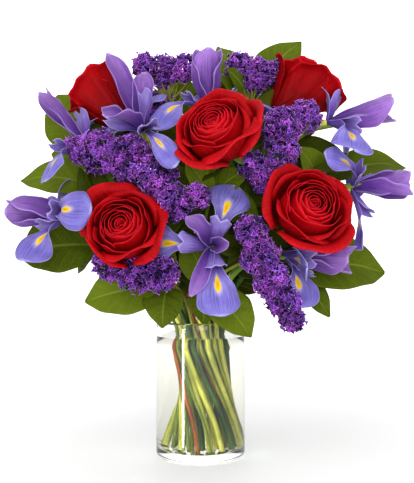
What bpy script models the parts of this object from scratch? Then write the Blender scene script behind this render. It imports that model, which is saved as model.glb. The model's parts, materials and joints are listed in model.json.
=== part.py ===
"""Bouquet of roses, irises, statice and salal leaves in a clear glass cylinder vase.

The origin is the centre of the vase's foot, +Z is up and -Y is the bouquet's front. Sizes and places
below are in millimetres; MM turns them to metres where a mesh is made.

The stems are gathered like a hand-tied bunch: at every height they stand in one pattern, which is only
scaled and turned from height to height, so no stem runs through another.
"""

import math

import bmesh
import bpy
import numpy as np
from mathutils import Vector

MM = 0.001
SEAT = 0.3  # clearance of a piece from what it rests on or is fixed to
CLEARANCE = 0.45  # clearance cut round a neighbour
SMALLEST_BODY = 12  # corners; what has fewer is a scrap of a cut

# --- vase -------------------------------------------------------------------------------------------
VASE_RADIUS = 50.0
VASE_HEIGHT = 152.0
VASE_WALL = 4.5
VASE_FLOOR = 10.0
HEEL_RADIUS = 6.0
RIM_RADIUS = 1.5
WELL_RADIUS = 4.0  # fillet between the inner wall and the inner floor
VASE_STEPS = 32

# --- the gathered stems -----------------------------------------------------------------------------
WAIST = 95.0  # height at which the bunch is narrowest
BUNCH_RADIUS = 25.0  # of the bunch at its waist
FOOT_SPREAD = 0.6  # how much wider the bunch stands on the vase's floor
HEAD_SPREAD = 7.5  # how much wider it could become far above the vase
SPREAD_HEIGHT = 170.0  # height above the waist where half of that is reached
SPREAD_POWER = 2.8
EASE_ROUNDS = 400
STEM_GAP = 2.4  # kept between two stems at the waist
TWIST = math.radians(100.0)  # turn of the bunch between its crown and its foot
TWIST_TOP = 175.0
BUNCH_TOP = 165.0  # up to here, just above the rim, every stem follows the bunch
STEM_STEP = 30.0  # spacing of the rings along a stem
STRAIGHT_END = 5.0  # a stem's last stretch runs straight along its axis
LEAD = 34.0  # length over which a stem bends into its flower's axis
JOINT_RISE = 0.35  # how far up towards its bend a stem still follows the bunch, above BUNCH_TOP
BEND_PULL = 0.36  # reach of the bend's handles, in the distance between its two ends
EASE_PART = 0.4  # part of two stems' shortfall that each round of easing mends

ROSE_STEM = 2.7
IRIS_STEM = 2.9
STATICE_STEM = 1.7
SALAL_STEM = 1.8

# --- flowers: where each stands, which way it faces -------------------------------------------------
ROSES = [  # centre of the bloom, direction it faces, radius
    ((-115, -22, 407), (-0.62, 0.20, 0.76), 39),
    ((19, -112, 353), (-0.33, -0.76, 0.55), 42),
    ((119, -12, 417), (0.58, 0.24, 0.78), 41),
    ((-75, -115, 258), (-0.15, -0.92, 0.35), 42),
    ((113, -110, 277), (0.24, -0.88, 0.36), 42),
]
ROSE_HEIGHT = 1.25  # of the bloom, in radii
ROSE_SWELL = 0.80  # lower than one: the bloom is widest above its middle
ROSE_SHOULDER = 0.62  # lower than one: its sides are fuller than a sphere's
ROSE_LOBES = (5, 0.05)  # waves round its section, and their height in radii
ROSE_SEAT = 0.64  # bloom's centre above its stem's end, in radii
HIP_RADIUS = 5.5

# An iris: the foot of its bloom, its axis and its size; then three falls (direction that it leans
# towards, angles from the axis at which its claw leaves and its blade ends), and three standards. A
# petal that differs from the usual one has its width and its length too, as parts of the usual ones.
IRISES = [
    ((-58, -60, 352), (-0.30, -0.60, 0.74), 1.15,
     [((0.8, -0.2, -0.8), 66, 118, 0.62, 1.0), ((-1.0, -0.1, -0.1), 50, 140, 0.7, 0.7),
      ((0.0, 0.2, 1.0), 50, 112, 0.7, 0.7)],
     [((-0.3, 0.8, 0.55), 34, 40, 0.6, 1.12), ((0.4, 1.0, 0.4), 44, 56, 0.6, 0.8),
      ((-0.35, -0.4, -0.9), 24, 56, 0.8, 0.8)]),
    ((9, -42, 372), (0.0, -0.15, 0.98), 1.0,
     [((-0.83, -0.6, 0.0), 59, 146, 0.98, 1.08), ((1.0, -0.25, 0.0), 60, 112),
      ((0.0, 1.0, 0.0), 45, 120)],
     [((0.0, -1.0, 0.0), 2, 6), ((0.9, 0.5, 0.0), 8, 14), ((-0.9, 0.5, 0.0), 8, 14)]),
    ((130, -48, 366), (0.96, -0.16, 0.22), 1.05,
     [((0.1, -1.0, -0.6), 45, 105), ((0.0, 0.5, 1.0), 70, 100, 0.7, 0.7), ((0.0, 1.0, -0.5), 40, 120)],
     [((0.0, 0.3, 1.0), 8, 14), ((0.3, -0.9, 0.3), 10, 16), ((0.1, 0.6, -0.8), 10, 16)]),
    ((154, -55, 296), (0.99, -0.08, 0.10), 1.0,
     [((-0.1, -0.8, 0.7), 75, 158, 0.7, 0.9), ((0.1, -0.5, -1.0), 80, 94, 0.7, 0.95),
      ((0.0, 1.0, 0.2), 45, 130)],
     [((0.0, -0.2, 1.0), 6, 11, 1.0, 0.92), ((0.0, -0.6, -0.8), 12, 15, 1.0, 0.92),
      ((0.0, 0.8, -0.4), 8, 10, 1.0, 0.92)]),
    ((80, -72, 228), (0.93, -0.36, -0.04), 1.05,
     [((0.2, -1.0, -0.2), 34, 60, 0.8, 0.75), ((0.1, -0.4, -1.0), 40, 90, 0.9, 0.8),
      ((0.0, 1.0, 0.2), 40, 120)],
     [((0.2, 0.1, 1.0), 5, 9, 0.7, 1.05), ((0.2, -1.0, -0.1), 4, 16), ((0.0, 0.6, -0.8), 8, 22)]),
    ((13, -94, 234), (0.0, -0.98, 0.18), 1.05,
     [((0.38, 0.1, 1.0), 38, 134), ((-1.0, 0.0, 0.06), 62, 142), ((0.12, 0.0, -1.0), 52, 84)],
     [((-0.8, 0.0, 0.8), 34, 84, 0.6, 0.6), ((-0.4, 0.0, -1.0), 36, 92, 0.5, 0.9),
      ((0.9, 0.0, -0.1), 14, 30, 0.5, 0.5)]),
    ((-126, -70, 267), (-0.98, -0.14, 0.10), 1.0,
     [((0.0, -1.0, 0.12), 46, 172), ((-0.1, -0.6, -1.0), 34, 70), ((0.0, 1.0, 0.4), 45, 130)],
     [((0.0, -0.1, 1.0), 3, 8), ((0.0, -0.9, -0.4), 4, 8), ((0.0, 0.7, -0.6), 5, 12)]),
    ((-118, -42, 338), (-0.62, -0.15, 0.76), 1.08,
     [((-0.2, -0.6, -1.0), 62, 118, 0.8, 0.95), ((0.9, 0.5, -0.3), 40, 90, 0.7, 0.7),
      ((0.2, 1.0, 0.2), 45, 120)],
     [((-0.2, 0.1, 1.0), 2, 6, 0.5, 1.0), ((0.0, -0.9, -0.4), 3, 10, 0.5, 1.0),
      ((0.0, 0.7, -0.6), 3, 11, 0.5, 1.0)]),
    ((-58, 74, 352), (-0.30, 0.80, 0.52), 1.0,
     [((0.0, 0.0, 1.0), 45, 105), ((1.0, 0.5, -0.5), 48, 115), ((-1.0, -0.2, -0.5), 45, 110)],
     [((0.8, 0.0, 0.5), 8, 18), ((-0.8, 0.0, 0.5), 6, 14), ((0.0, 0.3, -1.0), 8, 22)]),
    ((84, 76, 326), (0.50, 0.78, 0.38), 1.05,
     [((0.0, 0.0, 1.0), 44, 100), ((-1.0, 0.6, -0.4), 46, 118), ((0.8, -0.5, -0.6), 45, 112)],
     [((-0.6, 0.4, 0.6), 8, 16), ((0.6, -0.4, 0.6), 6, 14), ((0.0, 0.0, -1.0), 8, 20)]),
]
FALL_LENGTH = 74.0
FALL_OUTLINE = [(0.0, 3.0), (0.45, 6.5), (0.65, 19.0), (0.88, 19.0), (1.0, 7.0)]
STANDARD_LENGTH = 70.0
STANDARD_OUTLINE = [(0.0, 3.0), (0.35, 10.0), (0.65, 13.5), (0.88, 8.5), (1.0, 1.6)]
PETAL_THICKNESS = 1.5
IRIS_CORE = (7.0, 24.0)  # radius and length of the tube where the petals join

# A statice head: the direction its stem comes up in, and its lumps of florets (centre and radius),
# the first one where the stem ends.
STATICE = [
    ((-0.2, -0.1, 1.0), [(-40, -8, 430, 16), (-62, -4, 436, 14), (-18, -10, 434, 14)]),
    ((0.2, -0.1, 1.0), [(64, -8, 426, 17), (44, -8, 436, 14), (86, -8, 428, 13)]),
    ((0.5, -0.5, 0.7), [(84, -72, 334, 18), (86, -72, 360, 18), (110, -58, 372, 16),
                        (70, -86, 308, 18), (98, -48, 396, 10), (54, -90, 318, 13)]),
    ((-0.5, -0.6, 0.6), [(-72, -80, 326, 22), (-104, -72, 334, 21), (-44, -92, 306, 20),
                         (-26, -106, 280, 17), (-2, -112, 286, 11), (-126, -64, 337, 13)]),
    ((0.4, -0.9, 0.2), [(60, -108, 226, 18), (52, -114, 250, 15), (72, -110, 200, 16),
                        (83, -108, 181, 15), (93, -106, 163, 11)]),
    ((-0.4, -0.9, 0.1), [(-64, -98, 210, 16), (-90, -90, 220, 16), (-40, -100, 208, 15)]),
    ((-0.4, 0.5, 0.8), [(-78, 46, 384, 20), (-50, 40, 398, 18)]),
    ((0.4, 0.5, 0.8), [(70, 50, 380, 20), (98, 44, 364, 17)]),
    ((0.0, 0.9, 0.4), [(6, 92, 320, 20), (-22, 90, 306, 17), (34, 92, 308, 17)]),
]

# A salal sprig: where its woody stem ends and the way it points, then its leaves (tip, half width,
# the way its upper side faces).
SALAL = [
    ((-120, 16, 334), (-0.6, 0.2, 0.6),
     [((-165, 28, 414), 30, (-0.3, -1.0, 0.3)), ((-172, 20, 344), 22, (-0.3, -0.8, 0.6))]),
    ((-104, -24, 298), (-0.8, -0.2, 0.4),
     [((-200, -16, 312), 21, (-0.1, -0.9, 0.6)), ((-120, -78, 326), 15, (-0.5, -0.8, 0.2))]),
    ((-104, -30, 236), (-0.9, -0.3, 0.1),
     [((-196, -44, 225), 32, (0.0, -0.8, 0.5)), ((-138, -14, 206), 17, (-0.4, -0.6, 0.6))]),
    ((-34, -56, 196), (-0.5, -0.8, 0.3),
     [((-120, -74, 183), 24, (-0.1, -1.0, 0.2)), ((-40, -84, 153), 19, (-0.2, -1.0, 0.3)),
      ((-62, -66, 256), 21, (-0.2, -0.9, 0.3))]),
    ((8, -58, 192), (0.0, -0.9, 0.4),
     [((2, -84, 157), 16, (0.0, -1.0, 0.4)), ((50, -86, 142), 21, (0.3, -1.0, 0.2)),
      ((-14, -66, 248), 17, (0.0, -0.9, 0.2))]),
    ((84, -40, 214), (0.8, -0.4, 0.2),
     [((137, -68, 164), 17, (0.2, -0.9, 0.5)), ((203, -30, 210), 31, (0.1, -0.9, 0.45))]),
    ((128, -14, 304), (0.8, -0.3, 0.4),
     [((230, -2, 330), 21, (0.0, -0.7, 0.8)), ((108, -62, 340), 17, (0.2, -0.9, 0.1)),
      ((186, 30, 286), 18, (0.2, -0.4, 0.9))]),
    ((56, 14, 396), (0.2, 0.1, 1.0),
     [((112, 20, 475), 21, (-0.3, -1.0, 0.3)), ((18, 24, 467), 19, (0.2, -1.0, 0.3)),
      ((30, -30, 428), 15, (0.2, -1.0, 0.3))]),
    ((10, -76, 284), (0.1, -0.7, 0.6),
     [((44, -100, 314), 15, (-0.2, -0.9, 0.4)), ((-12, -96, 322), 13, (0.1, -0.9, 0.4)),
      ((60, -84, 264), 18, (0.1, -0.9, 0.3))]),
    ((-16, -36, 268), (-0.3, -0.5, 0.8),
     [((-66, -52, 296), 22, (-0.1, -1.0, 0.2)), ((-4, -52, 336), 20, (0.1, -1.0, 0.2)),
      ((-52, -60, 236), 20, (-0.2, -1.0, 0.2))]),
    ((46, -34, 256), (0.4, -0.5, 0.7),
     [((92, -50, 292), 21, (0.1, -1.0, 0.2)), ((26, -52, 312), 20, (-0.1, -1.0, 0.2)),
      ((84, -62, 224), 20, (0.2, -1.0, 0.2))]),
    ((-88, 52, 290), (-0.6, 0.6, 0.4),
     [((-164, 72, 306), 22, (0.1, 0.5, 0.9)), ((-130, 116, 262), 21, (-0.4, 0.6, 0.7)),
      ((-70, 122, 300), 20, (-0.1, 0.8, 0.6))]),
    ((92, 54, 282), (0.6, 0.6, 0.3),
     [((164, 78, 286), 22, (0.1, 0.4, 0.9)), ((124, 116, 250), 21, (0.4, 0.6, 0.7)),
      ((52, 116, 268), 20, (0.1, 0.8, 0.6))]),
    ((0, 62, 226), (0.0, 0.8, 0.5),
     [((-62, 108, 204), 22, (-0.2, 0.7, 0.7)), ((60, 110, 200), 22, (0.2, 0.7, 0.7)),
      ((0, 130, 240), 21, (0.0, 0.4, 0.9))]),
    ((-6, 50, 392), (0.0, 0.4, 0.9),
     [((-52, 62, 446), 18, (-0.2, 0.9, 0.4)), ((40, 66, 448), 18, (0.2, 0.9, 0.4)),
      ((-6, 104, 402), 19, (0.0, 0.5, 0.9))]),
]
LEAF_THICKNESS = 1.3
LEAF_OUTLINE = [(0.0, 0.0), (0.14, 0.0), (0.36, 0.86), (0.58, 1.0), (0.82, 0.62), (1.0, 0.0)]
LEAF_ARCH = 0.10  # height of a leaf's arch, in its lengths
PETIOLE = 1.6  # half width of a leaf where it leaves the stem

COLOURS = {  # base colour, roughness
    "glass": ((0.86, 0.90, 0.90), 0.05),
    "rose": ((0.52, 0.01, 0.02), 0.7),
    "iris": ((0.22, 0.17, 0.62), 0.6),
    "statice": ((0.12, 0.04, 0.35), 0.8),
    "leaf": ((0.08, 0.14, 0.02), 0.5),
    "stem": ((0.20, 0.32, 0.08), 0.6),
}


# --- small tools ------------------------------------------------------------------------------------
def unit(vector):
    """The vector scaled to length one."""
    vector = np.asarray(vector, float)
    return vector / np.linalg.norm(vector)


def material(name):
    """The Principled material of one kind of sub-part."""
    found = bpy.data.materials.get(name)
    if found:
        return found
    made = bpy.data.materials.new(name)
    made.use_nodes = True
    shader = made.node_tree.nodes["Principled BSDF"]
    colour, roughness = COLOURS[name]
    shader.inputs["Base Color"].default_value = (*colour, 1.0)
    shader.inputs["Roughness"].default_value = roughness
    shader.inputs["Metallic"].default_value = 0.0
    if name == "glass":
        shader.inputs["Transmission Weight"].default_value = 1.0
    return made


def new_object(name, mesh, kind):
    """A mesh object in the bouquet's collection, with its material and smooth shading."""
    made = bpy.data.objects.new(name, mesh)
    BOUQUET.objects.link(made)
    mesh.materials.clear()
    mesh.materials.append(material(kind))
    mesh.shade_smooth()
    mesh.set_sharp_from_angle(angle=math.radians(35.0))
    return made


def evaluated_mesh(thing):
    """The object's mesh with its modifiers applied."""
    bpy.context.view_layer.update()
    graph = bpy.context.evaluated_depsgraph_get()
    return bpy.data.meshes.new_from_object(thing.evaluated_get(graph))


def apply_modifiers(thing):
    """Replaces the object's mesh by its evaluated one."""
    mesh = evaluated_mesh(thing)
    thing.modifiers.clear()
    thing.data = mesh


def boolean(thing, other, operation):
    """Cuts or joins one object with another by the exact solver."""
    step = thing.modifiers.new(operation.lower(), "BOOLEAN")
    step.operation = operation
    step.solver = "EXACT"
    step.object = other
    apply_modifiers(thing)


def box_of(thing):
    """Lowest and highest corner of an object that stands at the origin."""
    points = np.empty(len(thing.data.vertices) * 3)
    thing.data.vertices.foreach_get("co", points)
    points = points.reshape(-1, 3)
    return points.min(0), points.max(0)


def boxes_near(one, other, gap):
    """Whether two objects' boxes come within a gap of each other."""
    low_a, high_a = box_of(one)
    low_b, high_b = box_of(other)
    return bool(np.all(low_a - gap < high_b) and np.all(low_b - gap < high_a))


def grown_copy(thing):
    """A cutter: the object's mesh with every face moved outwards by the clearance."""
    mesh = thing.data.copy()
    shape = bmesh.new()
    shape.from_mesh(mesh)
    shape.normal_update()
    moves = [vert.normal * CLEARANCE * MM * min(vert.calc_shell_factor(), 2.0) for vert in shape.verts]
    for vert, move in zip(shape.verts, moves):
        vert.co += move
    shape.to_mesh(mesh)
    shape.free()
    cutter = bpy.data.objects.new("cutter", mesh)
    CUTTERS.objects.link(cutter)
    cutter.hide_render = True
    cutter.display_type = "WIRE"
    return cutter


def keep_body(thing, point):
    """Drops the scraps that a cut leaves: keeps the body nearest to a point."""
    shape = bmesh.new()
    shape.from_mesh(thing.data)
    bmesh.ops.remove_doubles(shape, verts=shape.verts, dist=1e-6)
    left = set(shape.verts)
    bodies = []
    while left:
        reached = [left.pop()]
        body = set(reached)
        while reached:
            for edge in reached.pop().link_edges:
                for vert in edge.verts:
                    if vert in left:
                        left.remove(vert)
                        body.add(vert)
                        reached.append(vert)
        bodies.append(body)
    target = Vector(point) * MM
    bodies = [body for body in bodies if len(body) >= SMALLEST_BODY] or bodies
    best = min(bodies, key=lambda body: min((vert.co - target).length for vert in body))
    scraps = [vert for body in bodies if body is not best for vert in body]
    bmesh.ops.delete(shape, geom=scraps, context="VERTS")
    shape.to_mesh(thing.data)
    shape.free()


def clear_of(thing, neighbours):
    """Cuts an object clear of each neighbour that it could touch."""
    for other in neighbours:
        if boxes_near(thing, other, CLEARANCE * MM):
            cutter = grown_copy(other)
            boolean(thing, cutter, "DIFFERENCE")
            bpy.data.objects.remove(cutter)


# --- stems ------------------------------------------------------------------------------------------
def spread(height):
    """Scale of the bunch's pattern at a height: one at the waist, more above and below it."""
    above = max(height - WAIST, 0.0) ** SPREAD_POWER
    crown = HEAD_SPREAD * above / (above + SPREAD_HEIGHT**SPREAD_POWER)
    below = max(WAIST - height, 0.0) / (WAIST - VASE_FLOOR)
    return 1.0 + crown + FOOT_SPREAD * below**1.5


def turn(height):
    """Turn of the bunch's pattern at a height: none above the vase, the whole twist at its floor."""
    part = min(max((TWIST_TOP - height) / (TWIST_TOP - VASE_FLOOR), 0.0), 1.0)
    return TWIST * part * part * (3.0 - 2.0 * part)


def in_bunch(place, height):
    """Where a stem whose place in the waist pattern is given stands at a height."""
    angle = turn(height)
    across = np.array([[math.cos(angle), -math.sin(angle)], [math.sin(angle), math.cos(angle)]])
    return np.append(across @ np.asarray(place) * spread(height), height)


def place_in_bunch(point):
    """The place in the waist pattern of a stem that passes through a point."""
    angle = -turn(point[2])
    across = np.array([[math.cos(angle), -math.sin(angle)], [math.sin(angle), math.cos(angle)]])
    return across @ np.asarray(point[:2]) / spread(point[2])


def stem_designs():
    """Every stem by its number in the bunch: its name, its end, the axis it ends along, its radius."""
    designs = []
    for n, (centre, faces, radius) in enumerate(ROSES, 1):
        end = np.asarray(centre) - unit(faces) * (radius * ROSE_SEAT + SEAT)
        designs.append((f"rose_stem_{n}", end, faces, ROSE_STEM))
    for n, (foot, axis, *_) in enumerate(IRISES, 1):
        designs.append((f"iris_stem_{n}", np.asarray(foot) - unit(axis) * SEAT, axis, IRIS_STEM))
    for n, (axis, lumps) in enumerate(STATICE, 1):
        designs.append((f"statice_stem_{n}", np.asarray(lumps[0][:3]), axis, STATICE_STEM))
    for n, (end, axis, _) in enumerate(SALAL, 1):
        designs.append((f"salal_stem_{n}", np.asarray(end), axis, SALAL_STEM))
    return designs


def gathered(designs):
    """Where each stem stands in the waist pattern.

    Each starts at the place from which the bunch would bring it to its flower; then stems that stand
    too near each other are eased apart, and all are held inside the bunch.
    """
    places = np.array([place_in_bunch(end - LEAD * unit(axis)) for _, end, axis, _ in designs])
    radii = np.array([radius for *_, radius in designs])
    wanted = radii[:, None] + radii[None, :] + STEM_GAP
    for _ in range(EASE_ROUNDS):
        apart = places[:, None] - places[None, :]
        distance = np.linalg.norm(apart, axis=2) + np.eye(len(places))
        short = np.clip(wanted - distance, 0.0, None) * (1.0 - np.eye(len(places)))
        places = places + (apart / distance[..., None] * short[..., None]).sum(axis=1) * EASE_PART
        reach = np.linalg.norm(places, axis=1)
        places = places * np.minimum(1.0, (BUNCH_RADIUS - radii) / reach)[:, None]
    return {name: place for (name, *_), place in zip(designs, places)}


def stem_route(name, end, axis, radius):
    """Points from the cut end on the vase's floor to a stem's end, which it reaches along an axis.

    The stem follows the bunch out of the vase, then a cubic Bezier curve bends it into the axis.
    """
    end = np.asarray(end, float)
    axis = unit(axis)
    place = PLACES[name]
    joint = end - LEAD * axis
    leaves_bunch = BUNCH_TOP + JOINT_RISE * max(joint[2] - BUNCH_TOP, 0.0)
    slope = in_bunch(place, VASE_FLOOR + 2.0) - in_bunch(place, VASE_FLOOR)
    tilt = math.hypot(slope[0], slope[1]) / np.linalg.norm(slope)
    foot = VASE_FLOOR + SEAT + radius * tilt  # the slanting cut end just clears the floor
    count = round((leaves_bunch - foot) / STEM_STEP)
    route = [in_bunch(place, height) for height in np.linspace(foot, leaves_bunch, count + 1)]
    start = route[-1]
    heading = unit(in_bunch(place, leaves_bunch + 1.0) - in_bunch(place, leaves_bunch - 1.0))
    distance = np.linalg.norm(end - start)
    pull_out = start + heading * distance * BEND_PULL
    pull_in = end - axis * distance * BEND_PULL
    for t in np.linspace(0.0, 1.0, max(round(distance / STEM_STEP), 3) + 1)[1:]:
        s = 1.0 - t
        route.append(s**3 * start + 3 * s * s * t * pull_out + 3 * s * t * t * pull_in + t**3 * end)
    return route[:-1] + [end - axis * STRAIGHT_END, end]


def tube(name, route, radii, kind, sides=6):
    """A round stem along a route, as a mesh with closed ends."""
    line = bpy.data.curves.new(name, "CURVE")
    line.dimensions = "3D"
    line.bevel_depth = MM
    line.bevel_resolution = (sides - 4) // 2
    line.use_fill_caps = True
    spline = line.splines.new("POLY")
    spline.points.add(len(route) - 1)
    for point, place, radius in zip(spline.points, route, radii):
        point.co = (*(np.asarray(place) * MM), 1.0)
        point.radius = radius
    guide = bpy.data.objects.new(name + "_route", line)
    CUTTERS.objects.link(guide)
    mesh = evaluated_mesh(guide)
    bpy.data.objects.remove(guide)
    shape = bmesh.new()
    shape.from_mesh(mesh)
    bmesh.ops.remove_doubles(shape, verts=shape.verts, dist=1e-6)
    bmesh.ops.recalc_face_normals(shape, faces=shape.faces)
    shape.to_mesh(mesh)
    shape.free()
    return new_object(name, mesh, kind)


def plain_stem(name, end, axis, radius, kind="stem"):
    """A stem of even thickness."""
    route = stem_route(name, end, axis, radius)
    return tube(name, route, [radius] * len(route), kind)


# --- flowers and leaves -----------------------------------------------------------------------------
def frame_along(axis, toward):
    """Rows x, y, z of a frame whose z is the axis and whose x leans towards a direction."""
    z = unit(axis)
    x = unit(np.asarray(toward, float) - np.dot(toward, z) * z)
    return np.array([x, np.cross(z, x), z])


def vase():
    """The glass cylinder: a turned profile with a rounded heel, a rounded rim and a filleted well."""

    def arc(centre, radius, start, end, steps):
        angles = np.radians(np.linspace(start, end, steps))
        return [(centre[0] + radius * math.cos(a), centre[1] + radius * math.sin(a)) for a in angles]

    inner = VASE_RADIUS - VASE_WALL
    rim_in = (inner + RIM_RADIUS, VASE_HEIGHT - RIM_RADIUS)
    rim_out = (VASE_RADIUS - RIM_RADIUS, VASE_HEIGHT - RIM_RADIUS)
    heel = (VASE_RADIUS - HEEL_RADIUS, HEEL_RADIUS)
    well = (inner - WELL_RADIUS, VASE_FLOOR + WELL_RADIUS)
    profile = [(0.0, VASE_FLOOR)]
    profile += arc(well, WELL_RADIUS, -90, 0, 4)
    profile += arc(rim_in, RIM_RADIUS, 180, 90, 3)
    profile += arc(rim_out, RIM_RADIUS, 90, 0, 3)
    profile += arc(heel, HEEL_RADIUS, 0, -90, 5)
    profile += [(0.0, 0.0)]
    mesh = bpy.data.meshes.new("vase")
    points = [(r * MM, 0.0, z * MM) for r, z in profile]
    mesh.from_pydata(points, [(i, i + 1) for i in range(len(points) - 1)], [])
    glass = new_object("vase", mesh, "glass")
    screw = glass.modifiers.new("turn", "SCREW")
    screw.axis = "Z"
    screw.angle = math.tau
    screw.steps = VASE_STEPS
    screw.render_steps = VASE_STEPS
    screw.use_merge_vertices = True
    screw.merge_threshold = 1e-5
    apply_modifiers(glass)
    return glass


def rose(number, centre, faces, radius):
    """A rose bloom on the swollen end of its stem.

    The bloom is a sphere drawn out to a cup: narrow at the hip, widest above its middle, its mouth
    rounded off, and its section waved into five lobes by the outer petals.
    """
    axis = unit(faces)
    stem_end = np.asarray(centre) - axis * radius * ROSE_SEAT
    route = stem_route(f"rose_stem_{number}", stem_end - axis * SEAT, axis, ROSE_STEM)
    radii = [ROSE_STEM] * (len(route) - 2) + [HIP_RADIUS * 0.8, HIP_RADIUS]
    stem = tube(f"rose_stem_{number}", route, radii, "stem")

    shape = bmesh.new()
    bmesh.ops.create_uvsphere(shape, u_segments=15, v_segments=8, radius=1.0)
    frame = frame_along(axis, (1.0, 0.2, 0.3))
    lobes, lobe_height = ROSE_LOBES
    for vert in shape.verts:
        x, y, z = vert.co
        level = math.acos(max(-1.0, min(1.0, -z))) / math.pi  # 0 at the hip, 1 at the mouth
        around = math.atan2(y, x)
        width = math.sin(math.pi * level**ROSE_SWELL) ** ROSE_SHOULDER
        width *= 1.0 + lobe_height * math.cos(lobes * around)
        height = ROSE_HEIGHT * (0.5 - 0.5 * math.cos(math.pi * level))
        flat = max(width, 0.0) * radius if 0.0 < level < 1.0 else 0.0
        local = np.array([flat * math.cos(around), flat * math.sin(around), height * radius])
        vert.co = Vector((stem_end + local @ frame) * MM)
    mesh = bpy.data.meshes.new(f"rose_bloom_{number}")
    bmesh.ops.recalc_face_normals(shape, faces=shape.faces)
    shape.to_mesh(mesh)
    shape.free()
    return stem, new_object(f"rose_bloom_{number}", mesh, "rose")


def bent_line(length, first, last, start, steps):
    """Distances out from and along an axis of a line whose angle to it turns evenly.

    The angle goes from the first to the last, in degrees, with an even start and end; the points are
    the running sum of short steps in its direction.
    """
    t = np.linspace(0.0, 1.0, steps)
    angle = np.radians(first + (last - first) * t * t * (3.0 - 2.0 * t))
    middle = (angle[1:] + angle[:-1]) / 2.0
    step = length / (steps - 1)
    out = start[0] + np.concatenate([[0.0], np.cumsum(np.sin(middle) * step)])
    along = start[1] + np.concatenate([[0.0], np.cumsum(np.cos(middle) * step)])
    return out, along


def strip(name, rows, kind, thickness):
    """A thin closed plate through rows of points, each row running across it."""
    mesh = bpy.data.meshes.new(name)
    shape = bmesh.new()
    bmesh.ops.create_grid(shape, x_segments=len(rows) - 1, y_segments=len(rows[0]) - 1, size=1.0)
    order = sorted(shape.verts, key=lambda vert: (round(vert.co.x, 4), round(vert.co.y, 4)))
    for vert, point in zip(order, [point for row in rows for point in row]):
        vert.co = Vector(np.asarray(point) * MM)
    shape.to_mesh(mesh)
    shape.free()
    plate = new_object(name, mesh, kind)
    wall = plate.modifiers.new("wall", "SOLIDIFY")
    wall.thickness = thickness * MM
    wall.offset = 0.0
    wall.use_even_offset = False
    apply_modifiers(plate)
    return plate


def petal(name, foot, axis, toward, length, bend, outline):
    """One iris petal: a strip along a bent line; the outline gives its half width along it."""
    frame = frame_along(axis, toward)
    steps = 21
    out, along = bent_line(length, *bend, start=(2.0, 4.0), steps=steps)
    rows = []
    for part, half in outline:
        i = round(part * (steps - 1))
        rows.append([foot + np.array([out[i], side * half, along[i]]) @ frame for side in (-1.0, 1.0)])
    return strip(name, rows, "iris", PETAL_THICKNESS)


def iris(number, foot, axis, size, falls, standards):
    """An iris bloom on its stem: a short tube that carries three falls and three standards."""
    foot = np.asarray(foot, float)
    axis = unit(axis)
    stem = plain_stem(f"iris_stem_{number}", foot - axis * SEAT, axis, IRIS_STEM)
    shape = bmesh.new()
    bmesh.ops.create_uvsphere(shape, u_segments=6, v_segments=4, radius=1.0)
    frame = frame_along(axis, falls[0][0])
    radius, length = IRIS_CORE
    for vert in shape.verts:
        local = np.array([vert.co.x * radius, vert.co.y * radius, (vert.co.z + 1.0) * length / 2.0])
        vert.co = Vector((foot + local @ frame) * MM)
    mesh = bpy.data.meshes.new("core")
    shape.to_mesh(mesh)
    shape.free()
    bloom = new_object(f"iris_bloom_{number}", mesh, "iris")
    petals = [(FALL_LENGTH, FALL_OUTLINE, *one) for one in falls]
    petals += [(STANDARD_LENGTH, STANDARD_OUTLINE, *one) for one in standards]
    for length, outline, toward, first, last, *shares in petals:
        wide, long = shares or (1.0, 1.0)
        sized = [(part, half * wide * size) for part, half in outline]
        part = petal("petal", foot, axis, toward, length * long * size, (first, last), sized)
        boolean(bloom, part, "UNION")
        bpy.data.objects.remove(part)
    return stem, bloom


def statice(number, axis, lumps):
    """A statice head: lumps of florets joined in one body (its stem is joined after the cuts)."""
    first = np.asarray(lumps[0][:3], float)
    stem = plain_stem(f"statice_stem_{number}", first, axis, STATICE_STEM)
    head = None
    for x, y, z, radius in lumps:
        shape = bmesh.new()
        bmesh.ops.create_uvsphere(shape, u_segments=8, v_segments=5, radius=radius * MM)
        bmesh.ops.translate(shape, verts=shape.verts, vec=Vector((x, y, z)) * MM)
        mesh = bpy.data.meshes.new("lump")
        shape.to_mesh(mesh)
        shape.free()
        lump = new_object("lump", mesh, "statice")
        if head is None:
            head = lump
            head.name = f"statice_{number}"
        else:
            boolean(head, lump, "UNION")
            bpy.data.objects.remove(lump)
    return stem, head


def leaf(foot, tip, half_width, upper):
    """A salal leaf: a pointed oval plate, arched along its midrib."""
    foot, tip = np.asarray(foot, float), np.asarray(tip, float)
    length = np.linalg.norm(tip - foot)
    along = (tip - foot) / length
    face = unit(np.asarray(upper, float) - np.dot(upper, along) * along)
    across = np.cross(along, face)
    rows = []
    for t, part in LEAF_OUTLINE:
        half = max(half_width * part, PETIOLE)
        middle = foot + along * length * t + face * length * LEAF_ARCH * math.sin(math.pi * t)
        rows.append([middle + across * side * half for side in (-1.0, 1.0)])
    return strip("leaf", rows, "leaf", LEAF_THICKNESS)


def salal(number, end, axis, leaves):
    """A salal sprig's woody stem and its leaves, which all leave from the stem's end."""
    stem = plain_stem(f"salal_stem_{number}", end, axis, SALAL_STEM)
    plates = [leaf(end, *one) for one in leaves]
    return stem, plates


# --- assembly ---------------------------------------------------------------------------------------
for thing in list(bpy.data.objects):
    bpy.data.objects.remove(thing)
BOUQUET = bpy.data.collections.new("rose_iris_bouquet")
CUTTERS = bpy.data.collections.new("cutters")
for group in (BOUQUET, CUTTERS):
    bpy.context.scene.collection.children.link(group)

PLACES = gathered(stem_designs())
glass = vase()
roses = [rose(n, *design) for n, design in enumerate(ROSES, 1)]
irises = [iris(n, *design) for n, design in enumerate(IRISES, 1)]
statices = [statice(n, *design) for n, design in enumerate(STATICE, 1)]
salals = [salal(n, *design) for n, design in enumerate(SALAL, 1)]

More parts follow.
